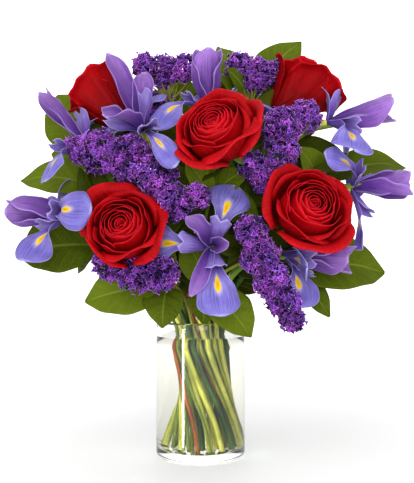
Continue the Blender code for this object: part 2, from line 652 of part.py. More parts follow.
stems = [stem for stem, _ in roses + irises + statices + salals]
done = [glass] + [bloom for _, bloom in roses]
for n, (stem, bloom) in enumerate(irises, 1):
    clear_of(bloom, done + [other for other in stems if other is not stem])
    keep_body(bloom, IRISES[n - 1][0])
    done.append(bloom)
for n, (stem, plates) in enumerate(salals, 1):
    others = [other for other in stems if other is not stem]
    sprig = stem
    sprig.name = f"salal_{n}"
    for plate in plates:
        clear_of(plate, done + others)
        keep_body(plate, SALAL[n - 1][0])
    for plate in plates:
        boolean(sprig, plate, "UNION")
        bpy.data.objects.remove(plate)
    keep_body(sprig, SALAL[n - 1][0])
    done.append(sprig)
for n, (stem, head) in enumerate(statices, 1):
    clear_of(head, done + [other for other in stems if other is not stem and other not in done])
    keep_body(head, STATICE[n - 1][1][0][:3])
    boolean(head, stem, "UNION")
    bpy.data.objects.remove(stem)
    stems.remove(stem)
    keep_body(head, STATICE[n - 1][1][0][:3])
    done.append(head)
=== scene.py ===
"""The looks of a hand-tied bouquet of roses, irises, statice and salal in a glass cylinder vase.

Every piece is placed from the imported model: stems follow the centre lines of the model's stems, and
flowers and leaves grow from their ends. Lengths are in metres unless a name or comment says mm.
"""

import json
import math

import bmesh
import bpy
import numpy as np
from mathutils import Matrix

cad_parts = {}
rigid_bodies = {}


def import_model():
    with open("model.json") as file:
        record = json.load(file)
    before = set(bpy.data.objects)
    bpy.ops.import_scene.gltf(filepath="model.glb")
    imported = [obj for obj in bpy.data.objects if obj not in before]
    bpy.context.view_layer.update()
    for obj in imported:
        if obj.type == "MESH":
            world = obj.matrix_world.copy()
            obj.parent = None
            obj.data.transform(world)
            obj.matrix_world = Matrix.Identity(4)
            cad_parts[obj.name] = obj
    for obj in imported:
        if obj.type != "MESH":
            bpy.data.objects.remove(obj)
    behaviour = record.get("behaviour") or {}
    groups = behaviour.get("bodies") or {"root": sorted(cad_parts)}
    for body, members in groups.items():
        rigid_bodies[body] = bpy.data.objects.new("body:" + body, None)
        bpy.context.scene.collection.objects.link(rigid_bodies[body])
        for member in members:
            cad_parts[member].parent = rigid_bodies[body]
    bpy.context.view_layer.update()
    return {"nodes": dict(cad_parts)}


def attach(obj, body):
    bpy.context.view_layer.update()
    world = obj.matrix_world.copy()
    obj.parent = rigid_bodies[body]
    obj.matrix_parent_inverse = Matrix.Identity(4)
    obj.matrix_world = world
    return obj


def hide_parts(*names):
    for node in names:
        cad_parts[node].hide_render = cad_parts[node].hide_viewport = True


for thing in list(bpy.data.objects):
    bpy.data.objects.remove(thing)
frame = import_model()
NODES = frame["nodes"]
MM = 0.001
GOLDEN = math.radians(137.508)

# --- the arrangement: as in the model, but for a fall of iris 1 and a leaf of salal 9 ---
# An iris: its size, falls and standards. Each petal has the direction that it leans towards, its
# angles from the bloom's axis at its foot and at its tip, in degrees, and, where they differ from
# the usual ones, its width and length as parts of those.
IRISES = [
    (1.15, [(0.55, -0.2, -0.9, 66, 116, 0.52, 1.06), (-1, -0.1, -0.1, 50, 140, 0.7, 0.7),
     (0, 0.2, 1, 50, 112, 0.7, 0.7)], [(-0.3, 0.8, 0.55, 34, 40, 0.6, 1.12),
     (0.4, 1, 0.4, 44, 56, 0.6, 0.8), (-0.35, -0.4, -0.9, 24, 56, 0.8, 0.8)]),
    (1, [(-0.83, -0.6, 0, 59, 146, 0.98, 1.08), (1, -0.25, 0, 60, 112), (0, 1, 0, 45, 120)],
     [(0, -1, 0, 2, 6), (0.9, 0.5, 0, 8, 14), (-0.9, 0.5, 0, 8, 14)]),
    (1.05, [(0.1, -1, -0.6, 45, 105), (0, 0.5, 1, 70, 100, 0.7, 0.7), (0, 1, -0.5, 40, 120)],
     [(0, 0.3, 1, 8, 14), (0.3, -0.9, 0.3, 10, 16), (0.1, 0.6, -0.8, 10, 16)]),
    (1, [(-0.1, -0.8, 0.7, 75, 158, 0.7, 0.9), (0.1, -0.5, -1, 80, 94, 0.7, 0.95),
     (0, 1, 0.2, 45, 130)], [(0, -0.2, 1, 6, 11, 1, 0.92), (0, -0.6, -0.8, 12, 15, 1, 0.92),
     (0, 0.8, -0.4, 8, 10, 1, 0.92)]),
    (1.05, [(0.2, -1, -0.2, 34, 60, 0.8, 0.75), (0.1, -0.4, -1, 40, 90, 0.9, 0.8),
     (0, 1, 0.2, 40, 120)], [(0.2, 0.1, 1, 5, 9, 0.7, 1.05), (0.2, -1, -0.1, 4, 16),
     (0, 0.6, -0.8, 8, 22)]),
    (1.05, [(0.38, 0.1, 1, 38, 134), (-1, 0, 0.06, 62, 142), (0.12, 0, -1, 52, 84)],
     [(-0.8, 0, 0.8, 34, 84, 0.6, 0.6), (-0.4, 0, -1, 36, 92, 0.5, 0.9),
     (0.9, 0, -0.1, 14, 30, 0.5, 0.5)]),
    (1, [(0, -1, 0.12, 46, 172), (-0.1, -0.6, -1, 34, 70), (0, 1, 0.4, 45, 130)],
     [(0, -0.1, 1, 3, 8), (0, -0.9, -0.4, 4, 8), (0, 0.7, -0.6, 5, 12)]),
    (1.08, [(-0.2, -0.6, -1, 62, 118, 0.8, 0.95), (0.9, 0.5, -0.3, 40, 90, 0.7, 0.7),
     (0.2, 1, 0.2, 45, 120)], [(-0.2, 0.1, 1, 2, 6, 0.5, 1), (0, -0.9, -0.4, 3, 10, 0.5, 1),
     (0, 0.7, -0.6, 3, 11, 0.5, 1)]),
    (1, [(0, 0, 1, 45, 105), (1, 0.5, -0.5, 48, 115), (-1, -0.2, -0.5, 45, 110)],
     [(0.8, 0, 0.5, 8, 18), (-0.8, 0, 0.5, 6, 14), (0, 0.3, -1, 8, 22)]),
    (1.05, [(0, 0, 1, 44, 100), (-1, 0.6, -0.4, 46, 118), (0.8, -0.5, -0.6, 45, 112)],
     [(-0.6, 0.4, 0.6, 8, 16), (0.6, -0.4, 0.6, 6, 14), (0, 0, -1, 8, 20)]),
]
# A salal sprig: where its stem ends, then for each of its leaves the tip and half width, in mm, and
# the direction of its upper side.
SALAL = [
    [(-120, 16, 334), (-165, 28, 414, 30, -0.3, -1, 0.3), (-172, 20, 344, 22, -0.3, -0.8, 0.6)],
    [(-104, -24, 298), (-200, -16, 312, 21, -0.1, -0.9, 0.6),
     (-120, -78, 326, 15, -0.5, -0.8, 0.2)],
    [(-104, -30, 236), (-196, -44, 225, 32, 0, -0.8, 0.5), (-138, -14, 206, 17, -0.4, -0.6, 0.6)],
    [(-34, -56, 196), (-120, -74, 183, 24, -0.1, -1, 0.2), (-40, -84, 153, 19, -0.2, -1, 0.3),
     (-62, -66, 256, 21, -0.2, -0.9, 0.3)],
    [(8, -58, 192), (2, -84, 157, 16, 0, -1, 0.4), (50, -86, 142, 21, 0.3, -1, 0.2),
     (-14, -66, 248, 17, 0, -0.9, 0.2)],
    [(84, -40, 214), (137, -68, 164, 17, 0.2, -0.9, 0.5), (203, -30, 210, 31, 0.1, -0.9, 0.45)],
    [(128, -14, 304), (230, -2, 330, 21, 0, -0.7, 0.8), (108, -62, 340, 17, 0.2, -0.9, 0.1),
     (186, 30, 286, 18, 0.2, -0.4, 0.9)],
    [(56, 14, 396), (112, 20, 475, 21, -0.3, -1, 0.3), (18, 24, 467, 19, 0.2, -1, 0.3),
     (30, -30, 428, 15, 0.2, -1, 0.3)],
    [(10, -76, 284), (47, -86, 316, 14, -0.2, -0.9, 0.4), (-12, -96, 322, 13, 0.1, -0.9, 0.4),
     (60, -84, 264, 18, 0.1, -0.9, 0.3)],
    [(-16, -36, 268), (-66, -52, 296, 22, -0.1, -1, 0.2), (-4, -52, 336, 20, 0.1, -1, 0.2),
     (-52, -60, 236, 20, -0.2, -1, 0.2)],
    [(46, -34, 256), (92, -50, 292, 21, 0.1, -1, 0.2), (26, -52, 312, 20, -0.1, -1, 0.2),
     (84, -62, 224, 20, 0.2, -1, 0.2)],
    [(-88, 52, 290), (-164, 72, 306, 22, 0.1, 0.5, 0.9), (-130, 116, 262, 21, -0.4, 0.6, 0.7),
     (-70, 122, 300, 20, -0.1, 0.8, 0.6)],
    [(92, 54, 282), (164, 78, 286, 22, 0.1, 0.4, 0.9), (124, 116, 250, 21, 0.4, 0.6, 0.7),
     (52, 116, 268, 20, 0.1, 0.8, 0.6)],
    [(0, 62, 226), (-62, 108, 204, 22, -0.2, 0.7, 0.7), (60, 110, 200, 22, 0.2, 0.7, 0.7),
     (0, 130, 240, 21, 0, 0.4, 0.9)],
    [(-6, 50, 392), (-52, 62, 446, 18, -0.2, 0.9, 0.4), (40, 66, 448, 18, 0.2, 0.9, 0.4),
     (-6, 104, 402, 19, 0, 0.5, 0.9)],
]
# A fall that turns about its own length, as (iris, fall): degrees.
TWISTS = {(3, 0): -60, (5, 1): -80, (7, 1): 70}
# How far each rose's outer petals have opened, from a cup (0) to a straight-sided funnel (1), its
# size against the model's, and how far it is moved from its place there, in mm.
ROSES = [
    (1, 1.1, (21.5, -6.4, -27.5)),
    (0, 1, (-1, -4, -5)),
    (1, 1.13, (-23, -7.2, -30)),
    (0, 0.94, (0, 0, -5)),
    (0, 1, (-5, 0, -5)),
]
# Larger leaves on the rose stems, by rose: foot, tip and half width, in mm, and upper side.
ROSE_LEAVES = {
    2: [((20, -40, 315), (42, -52, 356), 15, (0, -0.9, 0.4)),
        ((-6, -22, 330), (-44, -28, 382), 17, (-0.1, -0.95, 0.2))],
    3: [((84, -16, 338), (166, -38, 322), 20, (0.1, -0.85, 0.5)),
        ((52, -5, 398), (108, -14, 376), 17, (0.2, -0.9, 0.3)),
        ((42, -24, 330), (86, -32, 358), 14, (0.1, -0.9, 0.3))],
    4: [((-98, -35, 272), (-128, -52, 324), 15, (-0.2, -0.95, 0.2)),
        ((-100, -30, 288), (-54, -38, 318), 15, (0, -0.95, 0.2)),
        ((-22, -42, 250), (27, -46, 294), 16, (0.1, -0.95, 0.2))],
    5: [((60, -50, 262), (96, -72, 236), 14, (0.1, -0.9, 0.3)),
        ((62, -42, 240), (106, -50, 212), 13, (0.1, -0.95, 0.2))],
}
# A rose leaf's leaflets: place on the stalk (mm), spread to a side, length and half width (mm).
LEAFLETS = [(22, 0, 40, 12.5), (14, 0.9, 32, 10), (14, -0.9, 32, 10)]
BROWN_SALAL = (1, 4, 10)
STATICE_COUNT = 9
STATICE_FULLER = {6: 2.5}  # how much further a head's florets stand out, in mm
VASE_RADIUS, VASE_HEIGHT, VASE_WALL, VASE_FLOOR = 50, 152, 4.5, 10  # mm
WATER_LEVEL = 135  # mm

STEP = 4 * MM  # between the points of a stem's line
ROSE_HEIGHT = 1.25  # of the model's bloom, in radii
ROSE_PETALS = 25
ROSE_SEED, IRIS_SEED, STATICE_SEED, SALAL_SEED = 40, 70, 110, 150  # each plus its number
FLORET_AREA = 6.2 * MM * MM  # of a statice head for each of its florets
# The kinds of iris petals: length, where they leave the bloom's axis (out, up) and height of their
# waves, all in mm; outline as (place along, half width in mm); how the edges are raised along it;
# how uneven the outline is; most twist, in degrees; range of tints.
FALL_FORM = (
    74, (2.4, 5), 1.5,
    [(0, 3.2), (0.2, 5.6), (0.42, 7.6), (0.5, 10.5), (0.6, 17.5), (0.75, 22), (0.88, 19.5),
     (0.96, 11.5), (1, 2.5)],
    [(0, 0.9), (0.42, 0.5), (0.58, -0.1), (0.85, -0.28), (1, -0.35)], (0.96, 1.04), 16, (0.3, 1),
)
STANDARD_FORM = (
    70, (1.6, 6), 1.8,
    [(0, 3), (0.15, 7.5), (0.35, 13.5), (0.6, 17.5), (0.8, 16), (0.93, 10), (1, 2.5)],
    [(0, 0.9), (0.4, 0.6), (0.75, 0.45), (1, 0.2)], (0.95, 1.05), 30, (0.2, 1),
)
ARM_FORM = (
    38, (0.6, 9), 0.8, [(0, 3), (0.4, 7.4), (0.75, 10.4), (0.92, 9.6), (1, 5)],
    [(0, -0.7), (0.5, -0.75), (0.8, -0.35), (1, 0.5)],
)


# --- small tools ---
def unit(vector):
    """The vectors along the last axis, scaled to length one."""
    vector = np.asarray(vector, float)
    return vector / np.maximum(np.linalg.norm(vector, axis=-1, keepdims=True), 1e-12)


def smooth(value):
    """Eases from 0 to 1 with a level start and end."""
    value = np.clip(value, 0, 1)
    return value * value * (3 - 2 * value)


def even(count):
    """Numbers spread evenly from 0 to 1."""
    return np.linspace(0, 1, count)


def places(rows, columns):
    """Places along a sheet (v, a column from 0 to 1) and across it (u, a row from -1 to 1)."""
    return even(rows)[:, None], np.linspace(-1, 1, columns)[None]


def around(radius, angle, height):
    """Points at a radius and an angle round the z axis."""
    return np.stack(np.broadcast_arrays(radius * np.cos(angle), radius * np.sin(angle), height), -1)


def full_turn(steps):
    """Angles all the way round; the last is the first again, so that the seam welds shut."""
    angle = np.linspace(0, math.tau, steps + 1)
    angle[-1] = 0
    return angle


def distance_along(line):
    """The distance of each point of a line from its first."""
    return np.concatenate([[0], np.cumsum(np.linalg.norm(np.diff(line, axis=0), axis=1))])


def frame_along(axis, toward):
    """Rows x, y, z of a frame whose z is the axis and whose x leans towards a direction."""
    z = unit(axis)
    x = unit(toward - np.dot(toward, z) * z)
    return np.array([x, np.cross(z, x), z])


def through(knots, values, at):
    """A smooth curve through values at knots: cubic Hermite pieces, slopes from the neighbours."""
    knots, values, at = [np.asarray(part, float) for part in (knots, values, at)]
    flat = values.ndim == 1
    if flat:
        values = values[:, None]
    slopes = np.gradient(values, knots, axis=0)
    i = np.clip(np.searchsorted(knots, at, side="right") - 1, 0, len(knots) - 2)
    width = knots[i + 1] - knots[i]
    t = ((at - knots[i]) / width)[..., None]
    width = width[..., None]
    made = (
        (2 * t**3 - 3 * t**2 + 1) * values[i]
        + (t**3 - 2 * t**2 + t) * width * slopes[i]
        + (3 * t**2 - 2 * t**3) * values[i + 1]
        + (t**3 - t**2) * width * slopes[i + 1]
    )
    return made[..., 0] if flat else made


def hex_colour(code):
    """An sRGB hex colour as linear red, green, blue and alpha."""
    parts = [int(code[i : i + 2], 16) / 255 for i in (1, 3, 5)]
    parts = [part / 12.92 if part <= 0.04045 else ((part + 0.055) / 1.055) ** 2.4 for part in parts]
    return (*parts, 1)


def add(tree, kind, inputs=None, stops=None, **settings):
    """Adds a shader node with its settings; an input takes a value, a socket or another node."""
    made = tree.nodes.new("ShaderNode" + kind)
    for name, value in settings.items():
        setattr(made, name, value)
    for name, value in (inputs or {}).items():
        if isinstance(value, bpy.types.Node):
            value = value.outputs[2 if value.bl_idname == "ShaderNodeMix" else 0]
        if isinstance(value, bpy.types.NodeSocket):
            tree.links.new(value, made.inputs[name])
        else:
            made.inputs[name].default_value = value
    if stops:
        ramp = made.color_ramp.elements
        while len(ramp) < len(stops):
            ramp.new(0.5)
        for element, (place, code) in zip(ramp, stops):
            element.position = place
            element.color = hex_colour(code)
    return made


def calc(operation, *values):
    """A maths node; its first value is a node or a socket."""
    return add(values[0].id_data, "Math", dict(enumerate(values)), operation=operation)


def fit(value, low, high, new_low=0, new_high=1):
    """A value's range carried over to a new one and held within it."""
    return add(value.id_data, "MapRange", {0: value, 1: low, 2: high, 3: new_low, 4: new_high})


def noise(place, scale, detail, roughness=0.5):
    """Cloudy noise at a place."""
    inputs = {0: place, "Scale": scale, "Detail": detail, "Roughness": roughness}
    return add(place.id_data, "TexNoise", inputs)


def blend(share, one, other):
    """A mix of two colours, each a node or a hex code."""
    one, other = [hex_colour(side) if isinstance(side, str) else side for side in (one, other)]
    return add(share.id_data, "Mix", {0: share, 6: one, 7: other}, data_type="RGBA")


def toned(colour, *levels, **more):
    """A colour with its brightness multiplied by levels."""
    level = levels[0]
    for other in levels[1:]:
        level = calc("MULTIPLY", level, other)
    return add(level.id_data, "HueSaturation", {"Color": colour, "Value": level, **more})


def stretched(uv, across, along):
    """The map of a surface, scaled across and along."""
    return add(uv.id_data, "Mapping", {0: uv, "Scale": (across, along, 1)})


def relief(height, strength, depth):
    """Fine relief that follows a height."""
    inputs = {"Strength": strength, "Distance": depth, "Height": height}
    return add(height.id_data, "Bump", inputs)


def new_material(name):
    """A new node material: itself, its tree, the place in the model and the map of the surface."""
    made = bpy.data.materials.new(name)
    made.use_nodes = True
    made.node_tree.nodes.clear()
    where = add(made.node_tree, "TexCoord").outputs
    return made, made.node_tree, where["Object"], where["UV"]


def sheet_values(tree, uv):
    """The place across a sheet and along it, from 0 to 1, and the sheet's own tint."""
    across, along, _ = add(tree, "SeparateXYZ", {0: uv}).outputs
    return across, along, add(tree, "Attribute", attribute_name="tint").outputs["Fac"]


def finished(made, colour, roughness, mirror, more):
    """Gives a material its surface; mirror is how much it reflects at a right angle."""
    inputs = {"Base Color": colour, "Roughness": roughness, "Specular IOR Level": mirror}
    shader = add(made.node_tree, "BsdfPrincipled", {**inputs, **more})
    add(made.node_tree, "OutputMaterial", {0: shader})
    return made


# --- meshes ---
def placed(name, data):
    """A new object in the scene."""
    made = bpy.data.objects.new(name, data)
    bpy.context.scene.collection.objects.link(made)
    return made


def sheet(points, uv=None, tint=0.5):
    """A batch of grids of points, (..., rows, columns, 3), with its map across and along."""
    points = np.asarray(points, float)
    points = points.reshape(-1, *points.shape[-3:])
    count, rows, columns, _ = points.shape
    if uv is None:
        uv = np.stack(np.meshgrid(even(columns), even(rows)), -1)
    uv = np.broadcast_to(uv, (count, rows, columns, 2))
    tint = np.broadcast_to(np.asarray(tint, float).reshape(-1, 1, 1), (count, rows, columns))
    return points, uv, tint


def quads(index):
    """The four corners of each cell of grids of point numbers."""
    corners = [index[..., :-1, :-1], index[..., :-1, 1:], index[..., 1:, 1:], index[..., 1:, :-1]]
    return np.stack(corners, -1).reshape(-1, 4)


def piece(name, sheets, materials, replaced=(), wall=0, weld=False, back=False):
    """One smooth mesh object from sheets, on the model's one body.

    A wall gives sheets a thickness, and back paints their other side with the second material. Weld
    merges coincident points, which closes seams and poles, and turns all faces outwards.
    """
    faces, start = [], 0
    for points, _, _ in sheets:
        size = points[..., 0].size
        faces.append(quads(np.arange(size).reshape(points.shape[:3]) + start))
        start += size
    faces = np.vstack(faces)
    points, uvs, tints = [np.vstack([part.reshape(-1, wide) for part in parts])
                          for parts, wide in zip(zip(*sheets), (3, 2, 1))]
    mesh = bpy.data.meshes.new(name)
    mesh.vertices.add(len(points))
    mesh.vertices.foreach_set("co", points.ravel())
    mesh.loops.add(faces.size)
    mesh.loops.foreach_set("vertex_index", faces.ravel())
    mesh.polygons.add(len(faces))
    mesh.polygons.foreach_set("loop_start", np.arange(0, faces.size, 4, dtype=np.int32))
    mesh.update(calc_edges=True)
    layer = mesh.uv_layers.new(name="UVMap")
    layer.data.foreach_set("uv", uvs[faces.ravel()].ravel())
    shade = mesh.attributes.new("tint", "FLOAT", "POINT")
    shade.data.foreach_set("value", tints.ravel())
    for one in materials:
        mesh.materials.append(one)
    if weld:
        shape = bmesh.new()
        shape.from_mesh(mesh)
        bmesh.ops.remove_doubles(shape, verts=shape.verts, dist=1e-6)
        bmesh.ops.dissolve_degenerate(shape, edges=shape.edges, dist=1e-7)
        bmesh.ops.recalc_face_normals(shape, faces=shape.faces)
        shape.to_mesh(mesh)
        shape.free()
    mesh.polygons.foreach_set("use_smooth", np.ones(len(mesh.polygons), bool))
    mesh.update()
    made = placed(name, mesh)
    if wall:
        thick = made.modifiers.new("wall", "SOLIDIFY")
        thick.thickness = wall
        thick.offset = 0
        thick.material_offset = int(back)
    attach(made, "root")
    if replaced:
        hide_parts(*replaced)


def turned(*parts, steps=128):
    """A surface of revolution about the vase's axis: each (radius, height) in mm swept round."""
    profile = np.vstack(parts) * MM
    return sheet(around(profile[:, 0, None], full_turn(steps), profile[:, 1, None]))


def tube(line, radius, sides, reference):
    """A closed round rod: circles square to a line, each with its radius, between two poles."""
    tangent = unit(np.gradient(line, axis=0))
    side = unit(np.cross(tangent, reference))
    other = np.cross(tangent, side)
    ends = [0, *range(len(line)), -1]
    line, side, other = line[ends], side[ends], other[ends]
    radius = np.concatenate([[0], np.broadcast_to(radius, len(line) - 2), [0]])
    angle = full_turn(sides)[:, None]
    ring = np.cos(angle) * side[:, None] + np.sin(angle) * other[:, None]
    across = even(sides + 1)[None]
    uv = np.stack(np.broadcast_arrays(across, distance_along(line)[:, None] * 10), -1)
    return sheet(line[:, None] + radius[:, None, None] * ring, uv)


def welded(name):
    """Points and edges of a model node, with its loose triangles merged."""
    shape = bmesh.new()
    shape.from_mesh(NODES[name].data)
    bmesh.ops.remove_doubles(shape, verts=shape.verts, dist=1e-6)
    shape.verts.index_update()
    points = np.array([vert.co for vert in shape.verts])
    edges = np.array([[edge.verts[0].index, edge.verts[1].index] for edge in shape.edges])
    shape.free()
    return points, edges


def stem_line(name):
    """The centre line and radius of a stem of the model, from its cut end up.

    It walks the stem's tube from its lowest ring of six points, ring by ring, until the tube ends
    or leaves or florets join it.
    """
    points, edges = welded(name)
    ring = np.argsort(np.linalg.norm(points - points[np.argmin(points[:, 2])], axis=1))[:6]
    seen = np.zeros(len(points), bool)
    centres, radii = [], []
    while len(ring) == 6:
        centre = points[ring].mean(0)
        centres.append(centre)
        radii.append(np.linalg.norm(points[ring] - centre, axis=1).mean())
        seen[ring] = True
        near = np.unique(edges[np.isin(edges, ring).any(1)])
        ring = near[~seen[near]]
    return np.array(centres), np.median(radii)


def resampled(line, step=STEP):
    """A line's points joined by a smooth curve, with a point about every step of its length."""
    length = distance_along(line)
    return through(length, line, np.linspace(0, length[-1], max(int(length[-1] / step), 4) + 1))


# --- materials ---
def rose_petal_material():
    """Fresh rose petal: a deep red velvet of tiny domed cells, which glows at grazing angles.

    It is darkest low in the cup, which is painted shade, clear red over most of its length and
    slightly lighter at its rolled rim, which is a painted highlight; fine veins fan out from its
    base.
    """
    made, tree, place, uv = new_material("rose_petal_velvet")
    _, along, tint = sheet_values(tree, uv)
    # Painted shade and light along the petal: near-black red low in the cup, a lighter red at the
    # rim.
    stops = [(0, "#340002"), (0.35, "#7C0002"), (0.7, "#940005"), (0.92, "#A80009"), (1, "#C41020")]
    ramp = add(tree, "ValToRGB", {0: along}, stops=stops)
    fan = noise(stretched(uv, 34, 2.4), 1, 3, 0.6)
    cloud = noise(place, 90, 4)
    cells = noise(place, 1800, 2)
    veins, own = fit(fan, 0.35, 0.65, 0.76, 1.12), fit(tint, 0, 1, 0.84, 1.12)
    red = toned(ramp, veins, fit(cloud, 0.3, 0.7, 0.82, 1.08), own)
    return finished(made, red, fit(cells, 0.3, 0.7, 0.5, 0.72), 0.08, {
        "Normal": relief(calc("ADD", fan, cells), 0.35, 0.4 * MM),
        "Sheen Weight": 0.04, "Sheen Roughness": 0.4, "Sheen Tint": hex_colour("#FF2038"),
        "Subsurface Weight": 0.1, "Subsurface Scale": 0.6,
        "Subsurface Radius": (0.004, 0.0006, 0.0006),
    })


def iris_petal_material(name, rim, stops, signal=None):
    """Fresh iris petal: thin and satiny, paler at its rim, with branching veins along it.

    On a fall a yellow signal patch with a pale halo lies where the claw widens into the blade.
    """
    made, tree, place, uv = new_material(name)
    across, along, tint = sheet_values(tree, uv)
    ramp = add(tree, "ValToRGB", {0: along}, stops=stops)
    middle = calc("SUBTRACT", across, 0.5)
    stretch = stretched(uv, 46, 2.2)
    lines = noise(stretch, 1, 3, 0.55)
    cloud = noise(place, 110, 4)
    cells = noise(place, 1500, 2)
    veins, own = fit(lines, 0.36, 0.64, 0.68, 1.2), fit(tint, 0, 1, 0.74, 1.14)
    veined = toned(ramp, veins, fit(cloud, 0.3, 0.7, 0.84, 1.1), own)
    border = fit(calc("ABSOLUTE", middle), 0.45, 0.49, 0, 0.75)
    tip = fit(along, 0.955, 0.985, 0, 0.75)
    colour = blend(calc("MAXIMUM", border, tip), veined, rim)
    if signal:
        long_part = calc("MULTIPLY", calc("SUBTRACT", along, signal), 8)
        wide_part = calc("MULTIPLY", middle, 13)
        spot = add(tree, "CombineXYZ", {0: wide_part, 1: long_part})
        reach = add(tree, "VectorMath", {0: spot}, operation="LENGTH").outputs["Value"]
        ragged = calc("MULTIPLY_ADD", noise(stretch, 3, 2), 0.8, -0.4)
        distance = calc("ADD", reach, ragged)
        yellow = blend(fit(distance, 0.1, 0.8, 1, 0), "#E6C000", "#D88A00")
        pale = blend(fit(distance, 1, 1.6, 0.35, 0), colour, "#D4CEF6")
        colour = blend(fit(distance, 0.85, 1.05, 1, 0), pale, yellow)
    return finished(made, colour, 0.48, 0.15, {
        "Normal": relief(calc("ADD", lines, cells), 0.4, 0.4 * MM),
        "Sheen Weight": 0.04, "Sheen Roughness": 0.5,
        "Subsurface Weight": 0.3, "Subsurface Scale": 0.7,
        "Subsurface Radius": (0.003, 0.002, 0.004),
    })


def statice_material():
    """Papery statice calyx: pleated and matt, violet with a green foot, a pale band at its rim that
    is partly its paler edge and partly painted highlight, and a throat darkened as painted shade.
    """
    made, tree, place, uv = new_material("statice_papery_calyx")
    _, along, tint = sheet_values(tree, uv)
    # Along the floret: green foot, dark violet, a pale rim band that is partly painted highlight, and
    # a near-black throat that is painted shade.
    stops = [(0, "#3E5A1E"), (0.12, "#28082E"), (0.42, "#4C1270"), (0.64, "#CA92F6"),
             (0.74, "#6C2898"), (1, "#200430")]
    patch = noise(place, 60, 3)
    ramp = add(tree, "ValToRGB", {0: along}, stops=stops)
    # The tint brightens or darkens each floret: painted light on florets that stand out, painted
    # shade on sunk ones and in hollows.
    level = fit(calc("ADD", tint, patch), 0.4, 1.5, 0.25, 2.3)
    folds = noise(stretched(uv, 8, 0.6), 3, 1)
    violet = toned(ramp, level, Hue=fit(patch, 0.35, 0.65, 0.475, 0.53))
    return finished(made, violet, 0.8, 0.04, {"Normal": relief(folds, 0.5, 0.3 * MM)})


def leaf_material(name, body, light, vein, roughness):
    """Leathery leaf, waxed above and matt below, with a pale midrib and branching side veins.

    The side veins are the feet of a saw wave along the leaf, slanted with the distance from the
    midrib; a fine net lies between them.
    """
    made, tree, place, uv = new_material(name)
    across, along, tint = sheet_values(tree, uv)
    side = calc("ABSOLUTE", calc("SUBTRACT", across, 0.5))
    slanted = calc("MULTIPLY_ADD", calc("POWER", side, 0.7), -0.42, along)
    moved = calc("MULTIPLY_ADD", noise(uv, 5, 2), 0.05, slanted)
    saw = calc("PINGPONG", calc("MULTIPLY", moved, 9), 0.5)
    branch = calc("MULTIPLY", fit(saw, 0, 0.07, 1, 0), 0.55)
    rib = fit(side, 0.008, 0.035, 1, 0)
    fine = add(tree, "TexVoronoi", {0: place, "Scale": 420}, feature="DISTANCE_TO_EDGE")
    net = fit(fine, 0, 0.12, 0.35, 0)
    veins = calc("MAXIMUM", calc("MAXIMUM", branch, net), rib)
    cloud = noise(place, 45, 5)
    green = blend(fit(calc("ADD", tint, cloud), 0.55, 1.45), body, light)
    veined = blend(calc("MULTIPLY", veins, 0.6), green, vein)
    uneven = fit(cloud, 0.3, 0.7, roughness - 0.08, roughness + 0.1)
    sunken = relief(calc("MULTIPLY_ADD", veins, -1, cloud), 0.5, 0.6 * MM)
    return finished(made, veined, uneven, 0.05, {"Normal": sunken})


def stem_material(name, low, high, mark, roughness=0.5):
    """Plant stem: smooth skin in two tones with lengthwise fibres and small specks."""
    made, tree, place, uv = new_material(name)
    grain = noise(stretched(uv, 9, 1.3), 2, 4, 0.6)
    base = blend(fit(noise(place, 28, 3), 0.32, 0.68), low, high)
    skin = toned(base, fit(grain, 0.3, 0.7, 0.6, 1.3))
    specks = add(tree, "TexVoronoi", {0: place, "Scale": 230})
    marked = blend(fit(specks, 0.1, 0.22, 0.7, 0), skin, mark)
    uneven = fit(grain, 0.3, 0.7, roughness - 0.08, roughness + 0.12)
    return finished(made, marked, uneven, 0.12, {"Normal": relief(grain, 0.4, 0.4 * MM)})


def clear_material(name, ior, colour, mirror, ripple=0):
    """Clear glass or water, which lets lamps shine through to what it holds.

    Mirror is the share of its reflections that is left: a wet face of glass hardly mirrors.
    """
    made, tree, place, _ = new_material(name)
    inputs = {
        "Base Color": hex_colour(colour),
        "Roughness": 0,
        "Specular Tint": (mirror, mirror, mirror, 1),
        "IOR": ior,
        "Transmission Weight": 1,
    }
    if ripple:
        inputs["Normal"] = relief(noise(place, 24, 1), ripple, 1 * MM)
    bending = add(tree, "BsdfPrincipled", inputs)
    through_way = add(tree, "BsdfTransparent", {0: hex_colour("#F4F8F7")})
    shadow = add(tree, "LightPath").outputs["Is Shadow Ray"]
    mixed = add(tree, "MixShader", {0: shadow, 1: bending, 2: through_way})
    add(tree, "OutputMaterial", {0: mixed})
    return made


def paper_material():
    """White studio paper: matt, with a barely visible fibre."""
    made, tree, place, _ = new_material("studio_paper")
    white = fit(noise(place, 300, 3), 0, 1, 0.9, 0.93)
    colour = add(tree, "CombineColor", {0: white, 1: white, 2: white})
    return finished(made, colour, 0.9, 0.1, {})


ROSE = rose_petal_material()
FALL = iris_petal_material("iris_fall", "#A8A2DE", [
    (0, "#422C80"), (0.35, "#624EA0"), (0.55, "#7E74BE"), (0.8, "#6A62B4"), (1, "#8078C6"),
], signal=0.56)
STANDARD = iris_petal_material("iris_standard", "#A68CCC", [
    (0, "#341E6A"), (0.3, "#542E84"), (0.65, "#744C9E"), (1, "#9670BA"),
])
STYLE_ARM = iris_petal_material("iris_style_arm", "#ACA0DC", [
    (0, "#28104E"), (0.3, "#50328A"), (0.6, "#7058A6"), (1, "#8C7CC4"),
])
STATICE = statice_material()
LEAF_TOP = leaf_material("salal_leaf_waxed", "#262E00", "#4A5800", "#6E7A14", 0.42)
LEAF_BACK = leaf_material("salal_leaf_underside", "#404E04", "#5A6A10", "#7A8C32", 0.6)
ROSE_LEAF = leaf_material("rose_leaf_matt", "#222A04", "#3E480A", "#56601C", 0.55)
SPATHE = stem_material("iris_spathe", "#56761C", "#7E9A38", "#4A5B1E")
